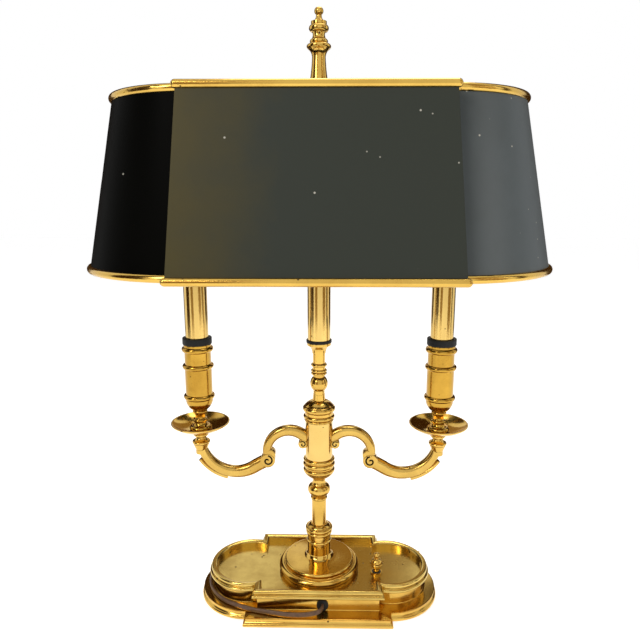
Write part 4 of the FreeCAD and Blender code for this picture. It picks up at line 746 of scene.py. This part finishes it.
def spline_points(points):
    """Points along a smooth spline whose control points are given."""
    curve = bpy.data.curves.new("cord_route", "CURVE")
    curve.dimensions = "3D"
    curve.resolution_u = 6
    spline = curve.splines.new("NURBS")
    spline.points.add(len(points) - 1)
    for point, place in zip(spline.points, points):
        point.co = (*place, 1.0)
    spline.order_u = 3
    spline.use_endpoint_u = True
    route = bpy.data.objects.new("cord_route", curve)
    bpy.context.scene.collection.objects.link(route)
    line = bpy.data.meshes.new_from_object(route.evaluated_get(bpy.context.evaluated_depsgraph_get()))
    places = [vertex.co.copy() for vertex in line.vertices]
    bpy.data.objects.remove(route)
    bpy.data.curves.remove(curve)
    bpy.data.meshes.remove(line)
    return places


def flat_section(width, thickness):
    """Half of the section's points at each lobe: two round wires side by side in one jacket."""
    section = []
    lobe = width / 4
    steps = 10
    for centre, start in ((lobe, 0.0), (-lobe, math.pi)):
        for step in range(steps):
            angle = start - math.radians(10) + (math.pi + math.radians(20)) * step / (steps - 1)
            across = thickness / 2 * math.cos(angle)
            up = centre + lobe * math.sin(angle)
            section.append((across, up))
    return section


def swept_flat(name, path, width, thickness):
    """Sweep the flat section along a path with its long side upright."""
    section = flat_section(width, thickness)
    points = []
    for place, here in enumerate(path):
        before = path[max(place - 1, 0)]
        after = path[min(place + 1, len(path) - 1)]
        way = (after - before).normalized()
        side = Vector((way.y, -way.x, 0.0)).normalized()
        up = side.cross(way)
        for across, along in section:
            points.append(here + side * across + up * along)
    return add_mesh(name, points, grid_faces(len(path), len(section)), 60.0)


cord_path = spline_points(cord_points)
cord_length = sum((b - a).length for a, b in zip(cord_path, cord_path[1:]))
print("cord path", len(cord_path), "points,", round(cord_length, 3), "m")
cord = swept_flat("lamp_cord", cord_path, CORD_WIDTH, CORD_THICKNESS)
cord.data.materials.append(cord_plastic)
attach(cord, "lamp")
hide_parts("cord_free", "cord_hank")

# %% [markdown]
# ## The ends of the cord
# The plug is a moulded two-blade plug and the hank is held by a flat rubber tie. Both are near where
# the solids are, and both belong to the cord. The tie keeps its CAD shape. The cord comes straight out
# of the black bushing, as in the photograph.

# %% Plug and its blades


def plug_shell(length, width, height, waist):
    """A rounded plug body along x: sections shrink towards the cord end."""
    shares = ((0.0, 0.42), (0.03, 0.50), (0.12, 0.62), (0.3, waist), (0.45, 0.86), (0.62, 0.98),
              (0.8, 1.0), (0.97, 0.97), (1.0, 0.90))
    steps = 32
    points = []
    for share, scale in shares:
        for step in range(steps):
            angle = 2 * math.pi * step / steps
            cosine, sine = math.cos(angle), math.sin(angle)
            y = math.copysign(abs(cosine) ** 0.5, cosine) * width / 2 * scale
            z = math.copysign(abs(sine) ** 0.5, sine) * height / 2 * min(1.0, scale + 0.1)
            points.append((length * share, y, z))
    return points, grid_faces(len(shares), steps)


PLUG_LENGTH = 0.0215
PLUG_WIDTH = 0.0165
PLUG_MOST_HEIGHT = 0.0098
PLUG_WAIST = 0.74
plug_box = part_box("plug")
plug_height = min(plug_box[1][2] - plug_box[0][2], PLUG_MOST_HEIGHT)
body_points, body_faces = plug_shell(PLUG_LENGTH, PLUG_WIDTH, plug_height, PLUG_WAIST)
plug_place = Matrix.Translation(PLUG_BACK) @ Matrix.Rotation(PLUG_TURN, 4, "Z")
body_points = [plug_place @ Vector(point) for point in body_points]
moulded_plug = add_mesh("moulded_plug", body_points, body_faces, 40.0)
wear(moulded_plug, brown_plastic, body="lamp")

BLADE_START = 0.0205
BLADE_END = 0.0375
BLADE_REACH = 0.00635
BLADE_HALF_THICKNESS = 0.00075
BLADE_HALF_WIDTH = 0.00315
BOX_FACES = [(0, 1, 3, 2), (4, 6, 7, 5), (0, 4, 5, 1), (2, 3, 7, 6), (0, 2, 6, 4), (1, 5, 7, 3)]
blade_parts = []
for side in (-1, 1):
    low = Vector((BLADE_START, side * BLADE_REACH - BLADE_HALF_THICKNESS, -BLADE_HALF_WIDTH))
    high = Vector((BLADE_END, side * BLADE_REACH + BLADE_HALF_THICKNESS, BLADE_HALF_WIDTH))
    corners = [Vector((x, y, z)) for x in (low.x, high.x) for y in (low.y, high.y) for z in (low.z, high.z)]
    blade_parts.append(([plug_place @ corner for corner in corners], BOX_FACES))
plug_blades = joined_mesh("plug_blades", blade_parts, 30.0)
edge_softener = plug_blades.modifiers.new("edges", "BEVEL")
edge_softener.width = 0.0003
edge_softener.segments = 2
wear(plug_blades, turned_brass, body="lamp")
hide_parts("plug")
print("cord, plug and tie ready")

# %% [markdown]
# ## The turned brass
# The column, the pans, the cups, the tubes, the finial and the switch knob were all spun or turned,
# so each is turned again here from the outline that the frame holds.

# %% Turned pieces
TURNED = (
    (turned_brass, ("foot_dome", "foot_collar", "lower_stem", "stem_knop", "barrel_foot", "barrel_cap",
                    "spindle", "centre_cup", "centre_tube_cap", "riser_rod", "riser_coupling", "shade_seat",
                    "finial_washer", "finial_cone", "finial_knob", "switch_nut", "switch_knob",
                    "left_pan_knop", "right_pan_knop")),
    (tube_brass, ("centre_tube", "left_candle_tube", "right_candle_tube")),
    (turned_brass, ("left_drip_pan", "right_drip_pan")),
    (cup_brass, ("left_candle_cup", "right_candle_cup")),
    (bulb_glass, ("left_bulb", "right_bulb")),
    (black_plastic, ("left_socket", "right_socket")),
    (black_rubber, ("centre_gasket",)))
for material, turned in TURNED:
    for node in turned:
        turn_again(node, material)
print("turned pieces ready")

# %% Barrel and side gaskets


def plain_ring(bore, radius, low, high, axis=(0.0, 0.0), edge=0.0003):
    """A plain ring with rounded edges, as points and faces."""
    run = [(radius, high), (radius, low), (bore, low), (bore, high)]
    return turned_shell(rounded(run, True, edge), True, axis)


def bore_of(node, axis):
    """The least distance of a node's points from an upright axis."""
    return min(math.hypot(v.co.x - axis[0], v.co.y - axis[1]) for v in nodes[node].data.vertices)


barrel_low, barrel_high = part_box("barrel")
barrel_radius = (barrel_high[1] - barrel_low[1]) / 2
barrel_ring = plain_ring(barrel_radius - 0.0024, barrel_radius, barrel_low[2], barrel_high[2])
wear(add_mesh("barrel_turned", *barrel_ring), tube_brass, "barrel")

TUBE_REACH = 0.129
gasket_low, gasket_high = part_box("side_gaskets")
gasket_radius = (gasket_high[1] - gasket_low[1]) / 2
gasket_bore = min(bore_of("side_gaskets", (side * TUBE_REACH, 0.0)) for side in (-1, 1))
gasket_rings = [plain_ring(gasket_bore, gasket_radius, gasket_low[2], gasket_high[2],
                           (side * TUBE_REACH, 0.0), 0.0008) for side in (-1, 1)]
wear(joined_mesh("side_gaskets_round", gasket_rings), black_rubber, "side_gaskets")
print("barrel and gaskets ready, gasket bore", round(gasket_bore, 4))

# %% [markdown]
# ## The base
# The base is an oblong block with a round lobe at each end, and its mouldings run all the way round.
# Its outline at any step out is the block and the lobes grown by that step, so the whole moulding is a
# grid: one row for each point of the profile, one column for each place along the outline. The profile
# is read where the frame's mesh folds at the block's corner.

# %% Base outline
BLOCK_HALF_LENGTH = 0.070
BLOCK_HALF_DEPTH = 0.0575
LOBE_CENTRE = 0.078
LOBE_RADIUS = 0.0458
CORNER_SOFTNESS = 0.0005
LOBE_STEPS = 72


def base_loop(out):
    """The base's outline, grown by a step, as points counter-clockwise from above."""
    x = BLOCK_HALF_LENGTH + out
    y = BLOCK_HALF_DEPTH + out
    radius = LOBE_RADIUS + out
    reach = math.acos((x - LOBE_CENTRE) / radius)
    soft = CORNER_SOFTNESS
    near = 0.293 * soft
    quarter = [(x - soft, -y), (x - near, -y + near), (x, -y + soft)]
    lobe = []
    for step in range(LOBE_STEPS + 1):
        angle = -reach + 2 * reach * step / LOBE_STEPS
        lobe.append((LOBE_CENTRE + radius * math.cos(angle), radius * math.sin(angle)))
    right = quarter + lobe + [(px, -py) for px, py in reversed(quarter)]
    return right + [(-px, -py) for px, py in right]


def mitre_profile(node):
    """A moulding's profile (step out, height), read along the fold at the block's front corner."""

    def flatten(point):
        out = point.x - BLOCK_HALF_LENGTH
        if point.x > 0 and point.y < 0 and abs(out - (-point.y - BLOCK_HALF_DEPTH)) < 3e-6:
            return (out, point.z)
        return None

    return outline_of(node, flatten)


def moulded_ring(name, node, size=0.0003):
    """Sweep a node's profile round the base; an open profile is closed by flat faces."""
    run, closed = mitre_profile(node)
    print(node, "profile", len(run), "points,", "closed" if closed else "open")
    profile = rounded(run, closed, size)
    points = []
    for out, up in profile:
        points += [(x, y, up) for x, y in base_loop(out)]
    return add_mesh(name, points, grid_faces(len(profile), len(base_loop(0.0)), closed), 28.0)


wear(moulded_ring("plinth_moulding", "base_plinth", 0.0008), turned_brass, "base_plinth")
wear(moulded_ring("tray_moulding", "base_tray", 0.0010), tray_brass, "base_tray")
print("base ready")

# %% [markdown]
# ## The scroll arms
# Each arm is one brass casting: an arch out of the barrel, a curl under it, and a long sweep up to the
# pan. The casting has soft facets along its length, so its section is a rounded bar with eight sides,
# swept along each arc while it tapers.

# %% Arm helpers
ARM_SECTION = ((1.0, 0.0), (0.985, 0.30), (0.93, 0.52), (0.76, 0.76), (0.60, 0.90), (0.36, 0.99), (0.0, 1.0),
               (-0.36, 0.99), (-0.60, 0.90), (-0.76, 0.76), (-0.93, 0.52), (-0.985, 0.30))


def station_bar(stations, depth):
    """A bar through stations: each is a place (x, z), the direction across the bar, and its width."""
    section = list(ARM_SECTION) + [(-across, -out) for across, out in ARM_SECTION]
    points = []
    for place, side, width in stations:
        for across, out in section:
            reach = across * width / 2
            points.append((place[0] + reach * math.cos(side), out * depth / 2,
                           place[1] + reach * math.sin(side)))
    return points, grid_faces(len(stations), len(section))


def arc_stations(centre, radius, start, end, width_start, width_end, steps=48):
    """Stations along an arc in the front plane, with the width tapering from one end to the other."""
    stations = []
    for step in range(steps + 1):
        share = step / steps
        angle = math.radians(start + (end - start) * share)
        place = (centre[0] + radius * math.cos(angle), centre[1] + radius * math.sin(angle))
        stations.append((place, angle, width_start + (width_end - width_start) * share))
    return stations


def volute_disc(centre, radius, depth, soft=0.0008, steps=64):
    """A round boss across the arm with softened edges."""
    run = [(0.0, depth / 2), (radius - 2 * soft, depth / 2), (radius - soft, depth / 2 - 0.15 * soft),
           (radius - 0.3 * soft, depth / 2 - 0.6 * soft), (radius, depth / 2 - 1.6 * soft)]
    run += [(across, -up) for across, up in reversed(run)]
    points, faces = turned_shell(run, False, (0.0, 0.0), steps)
    return [(centre[0] + point.x, point.z, centre[1] + point.y) for point in points], faces


def mirrored(part, side):
    """A part of the right arm, or its mirror for the left arm."""
    points, faces = part
    return [(point[0] * side, point[1], point[2]) for point in points], faces


ARCH = dict(centre=(0.0325, 0.1697), radius=0.0244, start=142, end=-6, width_start=0.0134, width_end=0.0096)
SWEEP = dict(centre=(0.0915, 0.1831), radius=0.0375, start=-126, end=-12, width_start=0.0146, width_end=0.0102)
SPUR = dict(centre=(0.0905, 0.1871), radius=0.0481, start=-78, end=-34, width_start=0.0055, width_end=0.0046,
            steps=24)
LOWER_VOLUTE = (0.0561, 0.1607)
UPPER_VOLUTE = (0.0175, 0.1801)
LOWER_VOLUTE_RADIUS = 0.0082
UPPER_VOLUTE_RADIUS = 0.0050
VOLUTE_DEPTH = 0.012
ARM_DEPTH = 0.011
SPUR_DEPTH = 0.008
print("arm helpers ready")

# %% Arms
HEEL = (LOWER_VOLUTE[0] - 0.0026, LOWER_VOLUTE[1] + 0.0066)
HEEL_RADIUS = 0.0060
HEEL_SHALLOWER = 0.001
ARM_END_BORE = 0.0034
ARM_END_RADIUS = 0.0062
ARM_END_HEIGHT = 0.0050
BRIDGE = ((LOWER_VOLUTE[0] - 0.002, LOWER_VOLUTE[1] + 0.0006), math.radians(-120), SWEEP["width_start"])
arch_stations = arc_stations(**ARCH)
sweep_stations = [BRIDGE] + arc_stations(**SWEEP)
spur_stations = arc_stations(**SPUR)
for side, name in ((-1, "left"), (1, "right")):
    knop_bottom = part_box(name + "_pan_knop")[0][2]
    parts = [
        station_bar(arch_stations, ARM_DEPTH),
        station_bar(sweep_stations, ARM_DEPTH),
        station_bar(spur_stations, SPUR_DEPTH),
        volute_disc(HEEL, HEEL_RADIUS, VOLUTE_DEPTH - HEEL_SHALLOWER),
        volute_disc(LOWER_VOLUTE, LOWER_VOLUTE_RADIUS, VOLUTE_DEPTH),
        volute_disc(UPPER_VOLUTE, UPPER_VOLUTE_RADIUS, VOLUTE_DEPTH),
        plain_ring(ARM_END_BORE, ARM_END_RADIUS, knop_bottom - ARM_END_HEIGHT, knop_bottom, (TUBE_REACH, 0.0))]
    arm = joined_mesh(name + "_arm_cast", [mirrored(part, side) for part in parts], 26.0)
    wear(arm, cast_brass, name + "_arm")
    print(name, "arm of", len(parts), "parts, its end at", round(knop_bottom, 4))

# %% [markdown]
# ## Black in the scrolls
# The eyes of the scrolls carry a spiral groove, drawn here as a black line laid on each face. A spiral
# follows a rule, so Geometry Nodes draw it: a Spiral curve, swept with a thin flat profile. The tree's
# inputs set its turns, its two radii and the width of the line.

# %% Spiral line nodes
spiral_tree = bpy.data.node_groups.new("spiral_line", "GeometryNodeTree")
spiral_tree.interface.new_socket(name="Geometry", in_out="INPUT", socket_type="NodeSocketGeometry")
for label, value in (("Turns", 1.6), ("Inner Radius", 0.001), ("Outer Radius", 0.006), ("Line Width", 0.0008)):
    socket = spiral_tree.interface.new_socket(name=label, in_out="INPUT", socket_type="NodeSocketFloat")
    socket.default_value = value
spiral_tree.interface.new_socket(name="Geometry", in_out="OUTPUT", socket_type="NodeSocketGeometry")
spiral_in = spiral_tree.nodes.new("NodeGroupInput").outputs
spiral_curve = node_of(spiral_tree, "GeometryNodeCurveSpiral", {
    "Resolution": 40, "Height": 0.0, "Rotations": spiral_in["Turns"],
    "Start Radius": spiral_in["Inner Radius"], "End Radius": spiral_in["Outer Radius"]})
line_radius = maths(spiral_tree, "MULTIPLY", spiral_in["Line Width"], 0.5)
spiral_profile = node_of(spiral_tree, "GeometryNodeCurvePrimitiveCircle", {
    "Resolution": 8, "Radius": line_radius})
spiral_sweep = node_of(spiral_tree, "GeometryNodeCurveToMesh", {
    "Fill Caps": True, "Curve": spiral_curve.outputs["Curve"], "Profile Curve": spiral_profile.outputs["Curve"]})
spiral_real = node_of(spiral_tree, "GeometryNodeRealizeInstances", {
    "Geometry": spiral_sweep.outputs["Mesh"]})
spiral_black = node_of(spiral_tree, "GeometryNodeSetMaterial", {
    "Geometry": spiral_real.outputs["Geometry"], "Material": groove_black})
node_of(spiral_tree, "NodeGroupOutput", {"Geometry": spiral_black.outputs["Geometry"]})
print("spiral nodes", len(spiral_tree.nodes))

# %% Spiral lines on the arms


def drawn_by(tree, values, name):
    """Run a Geometry Nodes tree with named inputs and give its result as (points, faces)."""
    holder = bpy.data.objects.new(name, bpy.data.meshes.new(name))
    bpy.context.scene.collection.objects.link(holder)
    modifier = holder.modifiers.new(name, "NODES")
    modifier.node_group = tree
    for item in tree.interface.items_tree:
        if item.item_type == "SOCKET" and item.in_out == "INPUT" and item.name in values:
            modifier[item.identifier] = values[item.name]
    mesh = bpy.data.meshes.new_from_object(holder.evaluated_get(bpy.context.evaluated_depsgraph_get()))
    points = [vertex.co.copy() for vertex in mesh.vertices]
    faces = [tuple(face.vertices) for face in mesh.polygons]
    bpy.data.objects.remove(holder)
    bpy.data.meshes.remove(mesh)
    return points, faces


spiral_lower = drawn_by(spiral_tree, {"Turns": 1.15, "Inner Radius": 0.0009, "Outer Radius": 0.0058,
                                      "Line Width": 0.0018}, "lower_spiral")
spiral_upper = drawn_by(spiral_tree, {"Turns": 1.05, "Inner Radius": 0.0007, "Outer Radius": 0.0036,
                                      "Line Width": 0.0013}, "upper_spiral")


def laid_on_face(part, centre, face, side, turn):
    """Lay a flat spiral on the front or back of a volute, turned about its eye and pressed flat."""
    points, faces = part
    placed = []
    for point in points:
        x = point.x * math.cos(turn) - point.y * math.sin(turn)
        z = point.x * math.sin(turn) + point.y * math.cos(turn)
        placed.append(((centre[0] + x) * side, face * (VOLUTE_DEPTH / 2 + point.z * 0.15),
                       centre[1] + z))
    return placed, faces


for side, name in ((-1, "left"), (1, "right")):
    parts = []
    for face in (-1, 1):
        parts.append(laid_on_face(spiral_lower, LOWER_VOLUTE, face, side, math.radians(150)))
        parts.append(laid_on_face(spiral_upper, UPPER_VOLUTE, face, side, math.radians(60)))
    lines = joined_mesh(name + "_arm_spirals", parts, 60.0)
    wear(lines, groove_black, body="lamp")
print("spirals ready")

# %% [markdown]
# ## The shade
# Four sheets of painted metal make the shade: a flat front and back, and a half-round at each end that
# stands back a step. Brass beads are crimped over the edges. The flat shapes are right in the frame, so
# these pieces are the same shapes with joined faces and smooth shading.

# %% Shade
# The ends get the copies of the paint with painted shade on the left and painted reflection on the right.
for node, material in (("shade_front", centre_paint), ("shade_back", centre_paint),
                       ("shade_left", left_paint_shaded), ("shade_right", right_paint_lit)):
    smooth_copy(node, material)
for node in ("top_bead", "bottom_bead"):
    smooth_copy(node, trim_brass)
smooth_copy("shade_spider", frame_brass)
print("shade ready")
